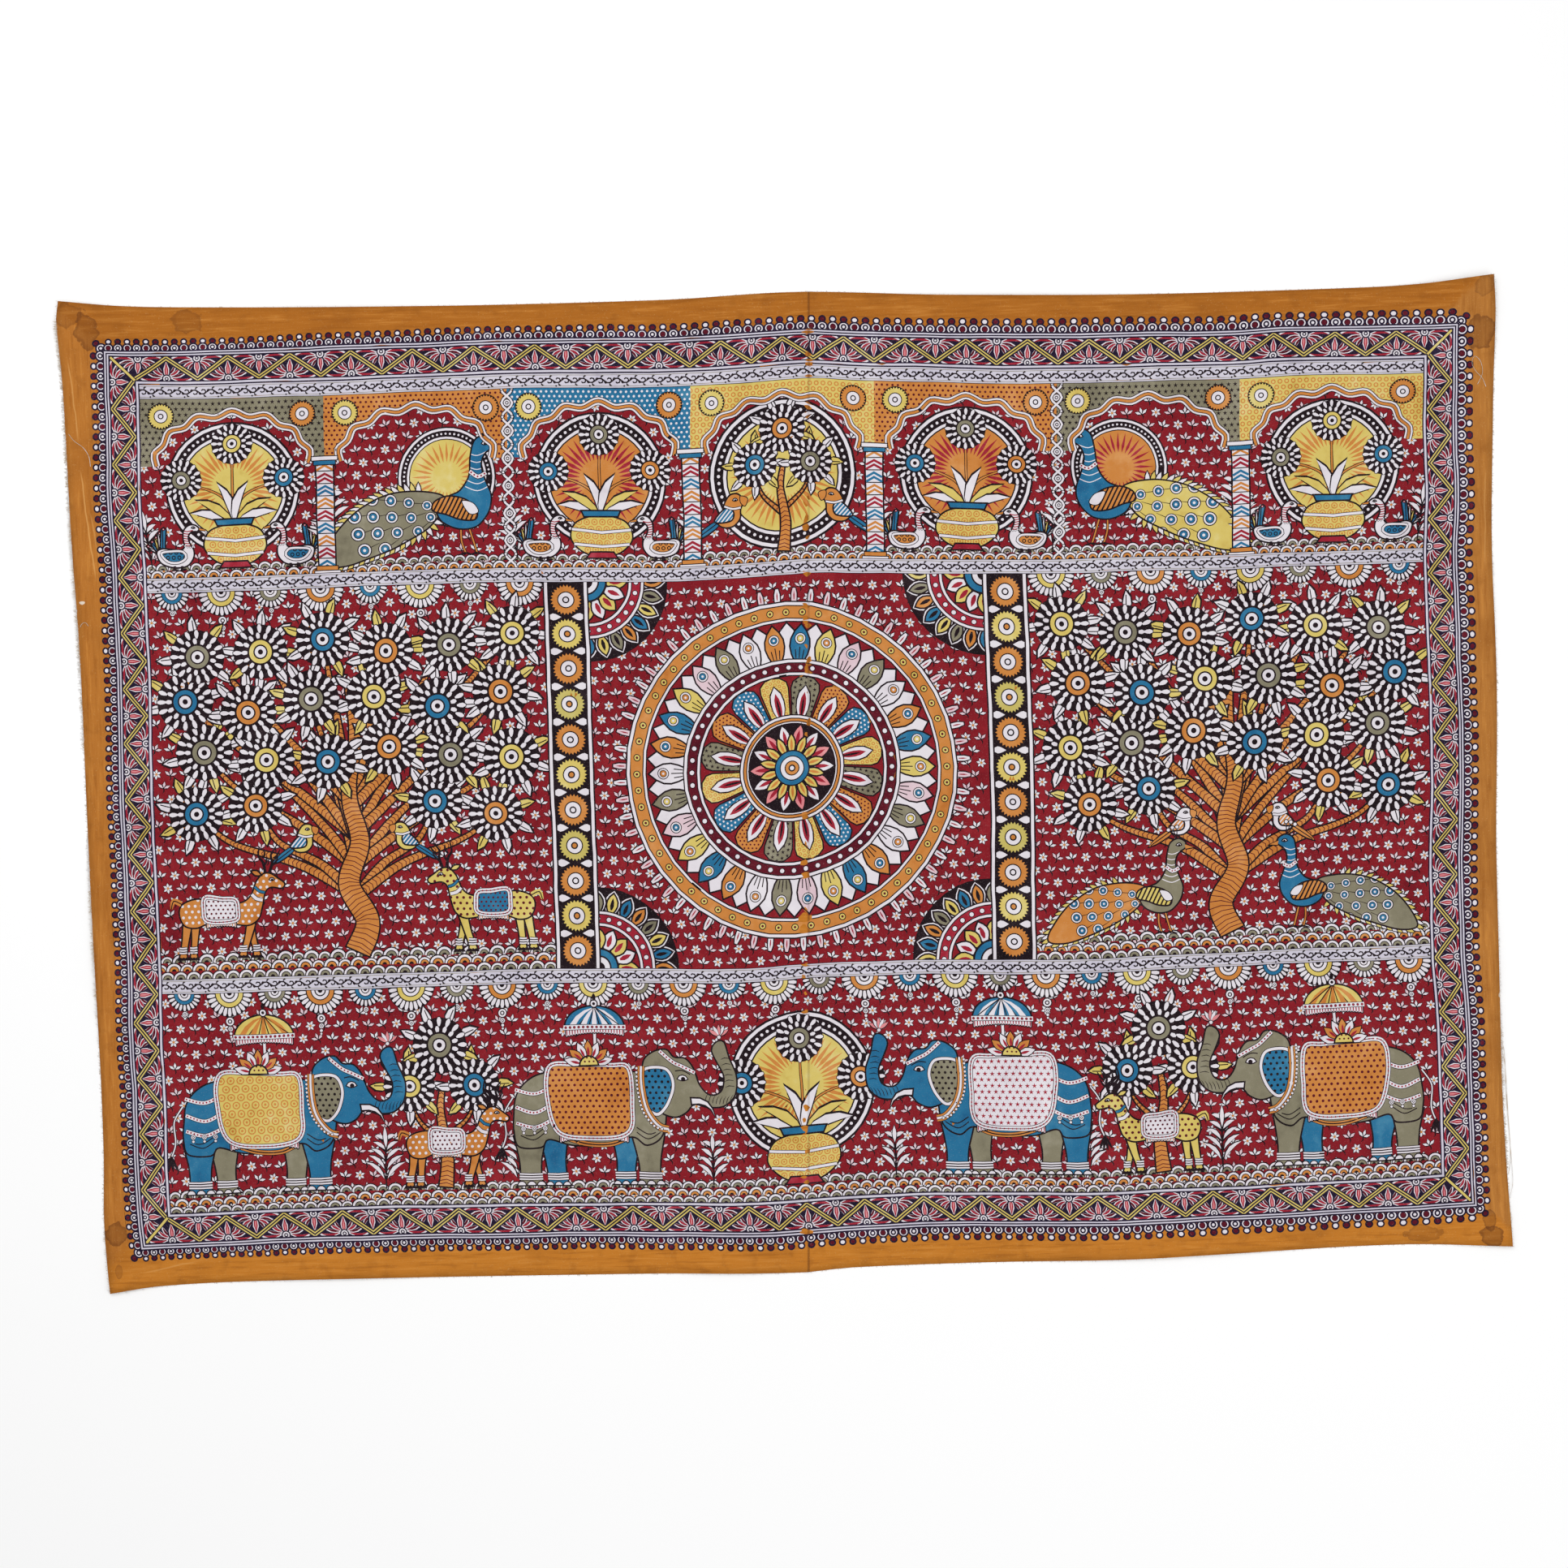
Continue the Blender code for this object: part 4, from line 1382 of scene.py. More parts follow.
# Where the picture lies on the cloth. Its edges bow in their own way, and the corners' rows add to them.
DRAWN = Patch(
    -0.7541 - 0.5158j, 0.7669 - 0.5104j, -0.7638 + 0.5086j, 0.7779 + 0.4948j,
    bottom_edge=(
        (0.00, 0.0020), (0.08, 0.0015), (0.14, 0.0015), (0.23, 0.0030), (0.29, 0.0044), (0.35, 0.0058),
        (0.41, 0.0095), (0.47, 0.0121), (0.53, 0.0086), (0.59, 0.0075), (0.65, 0.0103), (0.71, 0.0135),
        (0.77, 0.0121), (0.83, 0.0103), (0.89, 0.0088), (0.95, 0.0071), (1.00, 0.0050),
    ),
    top_edge=(
        (0.00, 0.0016), (0.08, -0.0002), (0.14, 0.0012), (0.20, 0.0023), (0.29, 0.0039), (0.35, 0.0026),
        (0.41, 0.0013), (0.47, 0.0045), (0.52, 0.0086), (0.56, 0.0045), (0.62, 0.0008), (0.68, -0.0025),
        (0.77, -0.0031), (0.83, -0.0040), (0.87, -0.0015), (0.95, -0.0017), (1.00, -0.0007),
    ),
    left_edge=(
        (0.00, 0.0040), (0.05, 0.0078), (0.14, 0.0081), (0.23, 0.0093), (0.32, 0.0073), (0.41, 0.0068),
        (0.50, 0.0078), (0.59, 0.0065), (0.74, 0.0068), (0.83, 0.0083), (0.92, 0.0061), (1.00, 0.0050),
    ),
    right_edge=(
        (0.00, 0.0025), (0.05, 0.0003), (0.17, -0.0009), (0.23, -0.0025), (0.29, -0.0052), (0.38, -0.0057),
        (0.47, -0.0029), (0.56, -0.0022), (0.65, -0.0039), (0.74, -0.0047), (0.80, -0.0017), (0.89, -0.0019),
        (1.00, 0.0015),
    ),
)
FOLD_LOW, FOLD_HIGH = -3.0, 31.0  # x where the middle fold meets the picture's lower and upper edge
SCALLOPS = 17.5  # how far they reach outside the picture
GRID = 12.0  # the drawing has a point at least this often, so that it follows the waves
FOLD_GRID = 2.5
STRAIGHT = 0.03  # how far a point may stray from the straight run that replaces it
TILES_ACROSS, TILES_UP = 5, 3  # pieces of the drawn face
COVERING = 100.0  # the area of the smallest shape that is tried as a cover over others

# (reach, wave length along x, wave length along y, start) of the hand's unevenness, in millimetres
WOBBLES_X = ((0.9, 610, 430, 0.4), (0.45, 173, 121, 2.1), (0.26, 61, 47, 4.0), (0.12, 29, 23, 1.2))
WOBBLES_Y = ((1.3, 720, 380, 1.3), (0.5, 149, 137, 5.2), (0.28, 67, 43, 0.7), (0.13, 31, 26, 3.3))


def wobble(places):
    """Moves the picture's points a little, as a hand-drawn line strays from its rule."""
    moved = places.copy()
    for rows, way in ((WOBBLES_X, 1), (WOBBLES_Y, 1j)):
        for reach, along_x, along_y, start in rows:
            turn = 2 * math.pi * (places.real / along_x + places.imag / along_y) + start
            other = 2 * math.pi * (places.real / along_x * 0.37 - places.imag / along_y * 0.81) + 2 * start
            moved = moved + way * reach * (np.sin(turn) + np.sin(other)) / 2
    return moved


def drawn_at(places):
    """Where the picture's points lie on the cloth, as (x, y, z) rows."""
    moved = wobble(places)
    ground = patch_point(DRAWN, moved.real / PICTURE.real + 0.5, moved.imag / PICTURE.imag + 0.5)
    z = lift(*shares_at(ground)) + FOOT + THICKNESS + DYE_LAYER
    return np.stack([ground.real, ground.imag, z], 1)


def tile_outline(left, right, low, high):
    corners = [complex(left, low), complex(right, low), complex(right, high), complex(left, high)]
    sides = []
    for a, b in zip(corners, np.roll(corners, -1)):
        sides.append(np.linspace(a, b, max(2, round(abs(b - a) / GRID)), endpoint=False))
    return np.concatenate(sides)


def loose_points(left, right, low, high):
    """Points over a tile, with more of them beside the fold."""
    x = np.arange(left + GRID / 2, right, GRID)
    y = np.arange(low + GRID / 2, high, GRID)
    grid = (x[None, :] + 1j * y[:, None]).ravel()
    fold = FOLD_LOW + (FOLD_HIGH - FOLD_LOW) * (y / PICTURE.imag + 0.5)
    near = (fold[:, None] + np.arange(-5, 6) * FOLD_GRID + 1j * y[:, None]).ravel()
    near = near[(near.real > left) & (near.real < right)]
    return np.concatenate([grid, near])


def covered(shapes, boxes):
    """Which shapes lie wholly under one later and larger shape."""
    sizes = np.array([len(shape.points) for shape in shapes])
    hidden = np.zeros(len(shapes), bool)
    roomy = (boxes[:, 1] - boxes[:, 0]) * (boxes[:, 3] - boxes[:, 2]) > COVERING
    for number in np.nonzero(roomy)[0].tolist():
        cover, (left, right, low, high) = shapes[number], boxes[number]
        if cover.within is not None or area(cover.points) < COVERING:
            continue
        under = boxes[:number]
        under = (under[:, 0] > left) & (under[:, 1] < right) & (under[:, 2] > low) & (under[:, 3] < high)
        under = np.nonzero(under & ~hidden[:number])[0]
        if len(under):
            outside = ~inside(cover.points, np.concatenate([shapes[k].points for k in under.tolist()]))
            hidden[under] = True
            hidden[np.repeat(under, sizes[under])[outside]] = False
    for number, shape in enumerate(shapes):
        if shape.within is not None and hidden[shape.within]:
            hidden[number] = True
    return hidden


def cut_tile(shapes, boxes, shown, left, right, low, high):
    """Cuts a tile into triangles along the outlines of its shapes: (points, triangles, their shapes)."""
    near = (boxes[:, 0] < right) & (boxes[:, 1] > left) & (boxes[:, 2] < high) & (boxes[:, 3] > low) & shown
    wanted = set(np.nonzero(near)[0].tolist())
    for k in list(wanted):
        while shapes[k].within is not None:
            k = shapes[k].within
            wanted.add(k)
    order = sorted(wanted)
    outlines = [tile_outline(left, right, low, high)] + [shapes[k].points for k in order]
    starts = np.cumsum([0] + [len(outline) for outline in outlines])
    faces = [list(range(a, b)) for a, b in zip(starts, starts[1:])]
    points = np.concatenate(outlines)
    corners = [Vector((x, y)) for x, y in zip(points.real.tolist(), points.imag.tolist())]
    cut = delaunay_2d_cdt(corners, [], faces, 0, 1e-5)
    placed = np.array([complex(v[0], v[1]) for v in cut[0]])
    triangles = np.array(cut[2])
    middles = placed[triangles].mean(1)
    tops = [top_shape(ids, middle, shapes, order, boxes) for ids, middle in zip(cut[5], middles.tolist())]
    tops = np.array(tops)
    keep = tops >= 0
    return placed, triangles[keep], tops[keep]


def top_shape(ids, middle, shapes, order, boxes):
    """The number of the shape that shows at a triangle, or -1 where none does or outside the tile."""
    if 0 not in ids:
        return -1
    x, y = middle.real, middle.imag
    here = []
    for i in ids:
        if i:
            k = order[i - 1]
            box = boxes[k]
            if box[0] <= x <= box[1] and box[2] <= y <= box[3]:
                here.append(k)
    held = set(here)
    for k in sorted(here, reverse=True):
        inner = k
        while inner is not None and inner in held:
            inner = shapes[inner].within
        if inner is None:
            return k
    return -1


def seen_edges(triangles, inks):
    """The edges between unlike dyes or at the rim, as pairs of points."""
    sides = np.sort(triangles[:, [0, 1, 1, 2, 2, 0]].reshape(-1, 2), 1)
    colours = np.repeat(inks, 3)
    order = np.lexsort((sides[:, 1], sides[:, 0]))
    sides, colours = sides[order], colours[order]
    same = np.append((sides[1:] == sides[:-1]).all(1), False)
    after = np.append(False, same[:-1])
    alike = same & (np.append(colours[1:], -1) == colours)
    return sides[~after & ~alike]


def straightened(points, edges):
    """Leaves out the points in the middle of straight runs."""
    near = {}
    for a, b in edges.tolist():
        near.setdefault(a, set()).add(b)
        near.setdefault(b, set()).add(a)
    where = points.tolist()
    for k in list(near):
        if len(near[k]) != 2:
            continue
        a, b = near[k]
        before, after = where[k] - where[a], where[b] - where[k]
        whole = abs(after + before)
        if b in near[a] or whole > GRID or whole < 1e-6:
            continue
        turn = before.conjugate() * after
        if abs(turn.imag) / whole < STRAIGHT and turn.real > 0:
            near[a].remove(k)
            near[b].remove(k)
            near[a].add(b)
            near[b].add(a)
            del near[k]
    return np.array([(a, b) for a in near for b in near[a] if a < b])


def without_hidden_lines(points, triangles, inks, loose):
    """The same picture in fewer triangles, cut only along the outlines that show."""
    edges = straightened(points, seen_edges(triangles, inks))
    used, edges = np.unique(edges, return_inverse=True)
    corners = np.concatenate([points[used], loose])
    corners = [Vector((x, y)) for x, y in zip(corners.real.tolist(), corners.imag.tolist())]
    cut = delaunay_2d_cdt(corners, edges.reshape(-1, 2).tolist(), [], 0, 1e-5)
    placed = np.array([complex(v[0], v[1]) for v in cut[0]])
    fresh = np.array(cut[2])
    before = BVHTree.FromPolygons([(z.real, z.imag, 0) for z in points.tolist()], triangles.tolist())
    found = [before.find_nearest((z.real, z.imag, 0)) for z in placed[fresh].mean(1).tolist()]
    inside_it = np.array([away is not None and away < 1e-4 for _, _, _, away in found])
    below = np.array([index if index is not None else 0 for _, _, index, _ in found])
    return placed, fresh[inside_it], inks[below[inside_it]]


def drawn_piece(name, shapes, boxes, shown, dyes, left, right, low, high):
    placed, triangles, tops = cut_tile(shapes, boxes, shown, left, right, low, high)
    names = list(dyes)
    inks = np.array([names.index(shapes[k].dye) for k in tops.tolist()])
    placed, triangles, inks = without_hidden_lines(placed, triangles, inks,
                                                   loose_points(left, right, low, high))
    used, triangles = np.unique(triangles, return_inverse=True)
    triangles = triangles.reshape(-1, 3)
    placed = placed[used]
    mesh = bpy.data.meshes.new(name)
    mesh.vertices.add(len(placed))
    mesh.vertices.foreach_set("co", drawn_at(placed).ravel())
    mesh.loops.add(triangles.size)
    mesh.loops.foreach_set("vertex_index", triangles.ravel())
    mesh.polygons.add(len(triangles))
    mesh.polygons.foreach_set("loop_start", np.arange(0, triangles.size, 3))
    used_inks, slots = np.unique(inks, return_inverse=True)
    for ink in used_inks:
        mesh.materials.append(dyes[names[ink]])
    mesh.polygons.foreach_set("material_index", slots.ravel())
    shares = np.stack([(placed.real - left) / (right - left), (placed.imag - low) / (high - low)], 1)
    mesh.uv_layers.new(name="OFBake").data.foreach_set("uv", shares[triangles.ravel()].ravel())
    mesh.update(calc_edges=True)
    mesh.validate()
    mesh.shade_smooth()
    piece = bpy.data.objects.new(name, mesh)
    bpy.context.scene.collection.objects.link(piece)
    return piece


def drawn_face(dyes):
    """The whole drawing, as a grid of pieces lying on the cloth."""
    shapes = []
    draw_field(Pen(shapes))
    draw_border(Pen(shapes))
    boxes = np.array([(s.points.real.min(), s.points.real.max(), s.points.imag.min(), s.points.imag.max())
                      for s in shapes])
    shown = ~covered(shapes, boxes)
    half = HALF + SCALLOPS * (1 + 1j)
    xs = np.linspace(-half.real, half.real, TILES_ACROSS + 1)
    ys = np.linspace(-half.imag, half.imag, TILES_UP + 1)
    pieces = []
    for row in range(TILES_UP):
        for column in range(TILES_ACROSS):
            name = f"drawing_{row + 1}_{column + 1}"
            sides = xs[column], xs[column + 1], ys[row], ys[row + 1]
            pieces.append(drawn_piece(name, shapes, boxes, shown, dyes, *sides))
    return pieces


# Dyes and cotton

LIT = 1.13  # the light on the cloth, where 1 shows a colour as it was read off the photograph


def linear(red, green, blue):
    """A colour for a shader from the values, 0 to 255, with which it is to show."""
    values = [c / 255 for c in (red, green, blue)]
    values = [c / 12.92 if c <= 0.04045 else ((c + 0.055) / 1.055) ** 2.4 for c in values]
    return tuple(c / LIT for c in values) + (1.0,)


class Look:
    """A material made of nodes."""

    def __init__(self, name):
        self.material = bpy.data.materials.new(name)
        self.material.use_nodes = True
        self.tree = self.material.node_tree
        self.shader = self.tree.nodes["Principled BSDF"]
        self.place = self.node("TexCoord").outputs["Object"]

    def node(self, kind, inputs=(), **settings):
        node = self.tree.nodes.new("ShaderNode" + kind)
        for name, value in settings.items():
            setattr(node, name, value)
        for socket, value in dict(inputs).items():
            self.give(node.inputs[socket], value)
        return node

    def give(self, socket, value):
        if isinstance(value, bpy.types.NodeSocket):
            self.tree.links.new(value, socket)
        else:
            socket.default_value = value

    def math(self, operation, a, b=0.0, clamp=False):
        return self.node("Math", {0: a, 1: b}, operation=operation, use_clamp=clamp).outputs[0]

    def scaled(self, x, y, z=1.0):
        """The place on the cloth, stretched, to draw a pattern out."""
        return self.node("Mapping", {"Vector": self.place, "Scale": (x, y, z)}).outputs[0]

    def noise(self, scale, detail=2.0, place=None):
        node = self.node("TexNoise", {"Vector": place or self.place, "Scale": scale, "Detail": detail})
        return node.outputs["Fac"]

    def between(self, value, low, high):
        """0 below low, 1 above high and smooth between."""
        inputs = {"Value": value, "From Min": low, "From Max": high}
        return self.node("MapRange", inputs, interpolation_type="SMOOTHSTEP").outputs["Result"]

    def mix(self, share, first, second):
        return self.node("Mix", {0: share, 6: first, 7: second}, data_type="RGBA").outputs[2]

    def weave(self):
        """The height of the cotton's crossing threads, 0 to 1."""
        threads = []
        for direction in ("X", "Y"):
            inputs = {"Vector": self.place, "Scale": 62.0, "Distortion": 1.5, "Detail": 1.0,
                      "Detail Scale": 2.0}
            threads.append(self.node("TexWave", inputs, bands_direction=direction).outputs["Fac"])
        return self.math("MAXIMUM", *threads)

    def fold_shade_mask(self):
        """1 along the middle fold and 0 beside it: the mask of the painted shade along that crease."""
        split = self.node("SeparateXYZ", {0: self.place})
        bottom, top = sheet_point(np.array([FOLD_AT_BOTTOM, FOLD_AT_TOP]), np.array([0.0, 1.0]))
        lean = (top.real - bottom.real) / (top.imag - bottom.imag)
        line = self.math("MULTIPLY_ADD", split.outputs["Y"], lean)
        line.node.inputs[2].default_value = bottom.real - lean * bottom.imag
        away = self.math("ABSOLUTE", self.math("SUBTRACT", split.outputs["X"], line))
        return self.math("SUBTRACT", 1.0, self.between(away, 0.0004, 0.0022))

    def finish(self, colour, grain, roughness=(0.80, 0.96), bump=0.35):
        """Sets the colour, and roughness and bump from the weave and a grain."""
        self.give(self.shader.inputs["Base Color"], colour)
        rough = self.node("MapRange", {"Value": grain, "To Min": roughness[0], "To Max": roughness[1]})
        self.give(self.shader.inputs["Roughness"], rough.outputs["Result"])
        height = self.math("MULTIPLY_ADD", self.weave(), 0.7)
        self.give(height.node.inputs[2], grain)
        inputs = {"Height": height, "Strength": bump, "Distance": 0.0003}
        self.give(self.shader.inputs["Normal"], self.node("Bump", inputs).outputs["Normal"])
        self.shader.inputs["Specular IOR Level"].default_value = 0.12
        return self.material


# A dye's colour, a deeper one where it pooled, a paler one where it is thin, and how streaky it is
Dye = namedtuple("Dye", "colour deep pale streaks")
DYES = {
    "line": Dye((30, 18, 24), (14, 8, 12), (54, 40, 46), 0.2),
    "indigo": Dye((32, 22, 46), (16, 10, 28), (56, 44, 72), 0.2),
    "white": Dye((228, 222, 228), (206, 196, 204), (238, 234, 238), 0.3),
    "lilac": Dye((208, 203, 216), (186, 180, 198), (222, 218, 228), 0.5),
    "blush": Dye((222, 196, 204), (208, 172, 184), (232, 214, 220), 0.3),
    "maroon": Dye((92, 18, 34), (62, 10, 24), (120, 34, 48), 0.3),
    "crimson": Dye((158, 34, 52), (128, 22, 40), (184, 70, 84), 0.5),
    "rose": Dye((224, 140, 144), (206, 112, 122), (234, 170, 172), 0.4),
    "yellow": Dye((216, 194, 106), (196, 166, 78), (226, 212, 146), 0.6),
    "red": Dye((134, 26, 36), (106, 16, 28), (156, 40, 48), 0.5),
    "blue": Dye((40, 112, 152), (26, 88, 130), (74, 138, 170), 0.7),
    "orange": Dye((204, 132, 64), (180, 104, 40), (218, 156, 96), 0.6),
    "grey": Dye((134, 128, 106), (108, 102, 84), (158, 152, 132), 0.6),
    "straw": Dye((198, 182, 100), (176, 154, 74), (212, 202, 140), 0.5),
}


def dyed(name, dye):
    """Cotton in one of the drawing's dyes, with painted shade along the middle fold."""
    look = Look("dye_" + name)
    blotches = look.noise(16.0, 4.0)
    patches = look.noise(95.0, 3.0)
    streaks = look.noise(60.0, 3.0, look.scaled(1.0, 0.22))
    pooled = look.math("MULTIPLY_ADD", streaks, dye.streaks * 0.8)
    look.give(pooled.node.inputs[2], look.math("ADD", blotches, look.math("MULTIPLY", patches, 0.6)))
    spread = 0.8 + dye.streaks * 0.4
    deep = look.between(pooled, spread, spread + 0.36)
    thin = look.between(pooled, spread, spread - 0.34)
    colour = look.mix(look.math("MULTIPLY", deep, 0.8), linear(*dye.colour), linear(*dye.deep))
    colour = look.mix(look.math("MULTIPLY", thin, 0.8), colour, linear(*dye.pale))
    fleck = look.between(look.noise(900.0, 1.0), 0.62, 0.78)
    colour = look.mix(look.math("MULTIPLY", fleck, 0.16), colour, linear(206, 190, 184))
    # painted shade: the dye darkened along the middle fold, where the crease is shaded
    colour = look.mix(look.math("MULTIPLY", look.fold_shade_mask(), 0.25), colour, linear(60, 34, 40))
    return look.finish(colour, look.noise(420.0, 2.0))


# (x, y, half width, half height, strength) of the darker stains in the margin, and of pale worn spots
STAINS = (
    (-0.788, 0.533, 0.013, 0.020, 0.60),
    (-0.808, 0.552, 0.014, 0.014, 0.40),
    (-0.673, 0.541, 0.019, 0.014, 0.40),
    (0.803, 0.482, 0.017, 0.019, 0.60),
    (0.809, 0.537, 0.011, 0.013, 0.35),
    (-0.787, -0.500, 0.012, 0.014, 0.65),
    (-0.784, -0.542, 0.004, 0.008, 0.40),
    (0.785, -0.549, 0.013, 0.012, 0.70),
    (0.783, -0.533, 0.007, 0.012, 0.60),
    (0.707, -0.545, 0.022, 0.010, 0.40),
)


WORN = (
    (-0.8024, 0.2228, 0.0030, 0.0022, 0.9),
    (0.8031, -0.2749, 0.0030, 0.0040, 0.8),
)
# Painted highlights, pale lines where light catches soft creases in the margin, as (x, y) at both ends, with
# how pale each is
CREASE_HIGHLIGHTS = (
    ((-0.8105, 0.5050), (-0.8010, 0.4020), 0.5),
    ((-0.7995, 0.3790), (-0.7860, 0.2440), 0.6),
    ((-0.7900, 0.3330), (-0.7790, 0.2500), 0.35),
    ((-0.7600, -0.5450), (-0.6900, -0.5330), 0.35),
    ((0.8050, 0.3300), (0.8010, 0.2100), 0.35),
)


def spot(look, row, ragged):
    """How far a place lies from the middle of a stain, where 1 is its ragged outline."""
    x, y, wide, tall, _ = row
    inputs = {"Vector": look.place, "Location": (-x / wide, -y / tall, 0), "Scale": (1 / wide, 1 / tall, 0)}
    place = look.node("Mapping", inputs).outputs[0]
    away = look.node("VectorMath", {0: place}, operation="LENGTH").outputs["Value"]
    return look.math("ADD", away, look.math("MULTIPLY", look.math("SUBTRACT", ragged, 0.5), 1.3))


def crease(look, start, end):
    """1 along a straight run across the cloth and 0 beside it and past its ends: the mask of a painted crease
    highlight.
    """
    run = complex(*end) - complex(*start)
    way = run / abs(run)
    middle = (complex(*end) + complex(*start)) / 2
    inputs = {0: (way.real, way.imag, 0), 1: look.place}
    along = look.node("VectorMath", inputs, operation="DOT_PRODUCT").outputs["Value"]
    inputs = {0: (-way.imag, way.real, 0), 1: look.place}
    aside = look.node("VectorMath", inputs, operation="DOT_PRODUCT").outputs["Value"]
    aside = look.math("ADD", aside, look.math("MULTIPLY", look.noise(22.0), 0.006))
    centre = middle * way.conjugate()
    past = look.math("ABSOLUTE", look.math("SUBTRACT", along, centre.real))
    away = look.math("ABSOLUTE", look.math("SUBTRACT", aside, centre.imag + 0.003))
    line = look.between(away, 0.0013, 0.0003)
    return look.math("MULTIPLY", line, look.between(past, abs(run) / 2, abs(run) / 2 - 0.02))


def margin():
    """The ochre margin, brushed along each edge and stained near the corners, with painted highlights along
    its creases and painted shade along the middle fold.
    """
    look = Look("ochre_margin")
    split = look.node("SeparateXYZ", {0: look.place})
    x, y = split.outputs["X"], split.outputs["Y"]
    past_side = look.math("SUBTRACT", look.math("ABSOLUTE", x), 0.765)
    past_end = look.math("SUBTRACT", look.math("ABSOLUTE", y), 0.505)
    ragged = look.math("MULTIPLY", look.math("SUBTRACT", look.noise(70.0), 0.5), 0.03)
    upright = look.between(look.math("ADD", look.math("SUBTRACT", past_side, past_end), ragged), -0.008,
                           0.008)
    along = look.noise(52.0, 4.0, look.scaled(0.32, 4.0))
    down = look.noise(52.0, 4.0, look.scaled(4.0, 0.32))
    fine_along = look.noise(170.0, 3.0, look.scaled(0.25, 3.4))
    fine_down = look.noise(170.0, 3.0, look.scaled(3.4, 0.25))
    streak = look.node("Mix", {0: upright, 2: along, 3: down}).outputs[0]
    fine = look.node("Mix", {0: upright, 2: fine_along, 3: fine_down}).outputs[0]
    shade = look.math("MULTIPLY_ADD", fine, 0.6)
    look.give(shade.node.inputs[2], streak)
    low, high = linear(198, 124, 42), linear(176, 106, 34)
    ends = look.mix(look.between(y, -0.3, 0.45), low, high)
    sides = look.mix(look.between(x, -0.3, 0.3), linear(186, 117, 47), linear(184, 120, 54))
    colour = look.mix(upright, ends, sides)
    colour = look.mix(look.math("MULTIPLY", look.between(shade, 0.80, 1.05), 0.42), colour,
                      linear(146, 82, 22))
    colour = look.mix(look.math("MULTIPLY", look.between(shade, 0.78, 0.56), 0.34), colour,
                      linear(220, 150, 70))
    blotches = look.between(look.noise(11.0, 4.0), 0.5, 0.72)
    colour = look.mix(look.math("MULTIPLY", blotches, 0.35), colour, linear(152, 90, 30))
    soiled = look.between(look.noise(58.0, 4.0), 0.52, 0.74)
    colour = look.mix(look.math("MULTIPLY", soiled, 0.32), colour, linear(142, 82, 26))
    ragged = look.noise(75.0, 5.0)
    for row in STAINS:
        away = spot(look, row, ragged)
        rim = look.math("MULTIPLY", look.between(away, 0.66, 0.94), 0.36)
        wet = look.math("MULTIPLY", look.between(away, 1.03, 0.95), row[-1])
        colour = look.mix(look.math("MULTIPLY", wet, look.math("ADD", rim, 0.6)), colour, linear(98, 52, 24))
    # painted highlight: pale lines where light catches the margin's creases
    for start, end, strength in CREASE_HIGHLIGHTS:
        line = look.math("MULTIPLY", crease(look, start, end), strength)
        colour = look.mix(line, colour, linear(226, 168, 98))
    for row in WORN:
        bare = look.math("MULTIPLY", look.between(spot(look, row, look.noise(240.0, 4.0)), 1.0, 0.7), row[-1])
        colour = look.mix(bare, colour, linear(236, 224, 206))
    # painted shade: the margin darkened along the middle fold, where the crease is shaded
    colour = look.mix(look.math("MULTIPLY", look.fold_shade_mask(), 0.55), colour, linear(96, 54, 24))
    fleck = look.between(look.noise(700.0, 1.0), 0.62, 0.8)
    colour = look.mix(look.math("MULTIPLY", fleck, 0.25), colour, linear(226, 182, 120))
    return look.finish(colour, look.noise(380.0, 2.0))


def back():
    """The undyed back, with the face's colours faintly through it and painted shade along the middle fold."""
    look = Look("cotton_back")
    colour = look.mix(look.between(look.noise(9.0, 4.0), 0.35, 0.7), linear(214, 200, 180),
                      linear(196, 172, 152))
    through = look.between(look.noise(34.0, 5.0), 0.46, 0.66)
    colour = look.mix(look.math("MULTIPLY", through, 0.5), colour, linear(168, 104, 92))
    # painted shade: the back darkened along the middle fold, where the crease is shaded
    colour = look.mix(look.math("MULTIPLY", look.fold_shade_mask(), 0.3), colour, linear(120, 90, 74))
    return look.finish(colour, look.noise(380.0, 2.0))


def thread_look():
    look = Look("loose_cotton")
    colour = look.mix(look.between(look.noise(60.0, 3.0), 0.4, 0.6), linear(238, 234, 230),
                      linear(208, 190, 168))
    return look.finish(colour, look.noise(420.0, 2.0), bump=0.2)


# The cloth under the drawing, and its loose threads

BASE_STEP = 0.020
BASE_STEP_NEAR_EDGE = 0.010
NEAR_EDGE = 0.13


def base_shares(length, extra=()):
    """Shares along one way of the cloth, closer near its two edges."""
    near = np.arange(0, NEAR_EDGE, BASE_STEP_NEAR_EDGE) / length
    middle = np.linspace(NEAR_EDGE / length, 1 - NEAR_EDGE / length,
                         round((length - 2 * NEAR_EDGE) / BASE_STEP))
    if len(extra):
        middle = middle[np.abs(middle - 0.5) > extra[-1] + BASE_STEP / 2 / length]
    return np.sort(np.concatenate([near, middle, 1 - near, 0.5 + np.asarray(extra)]))


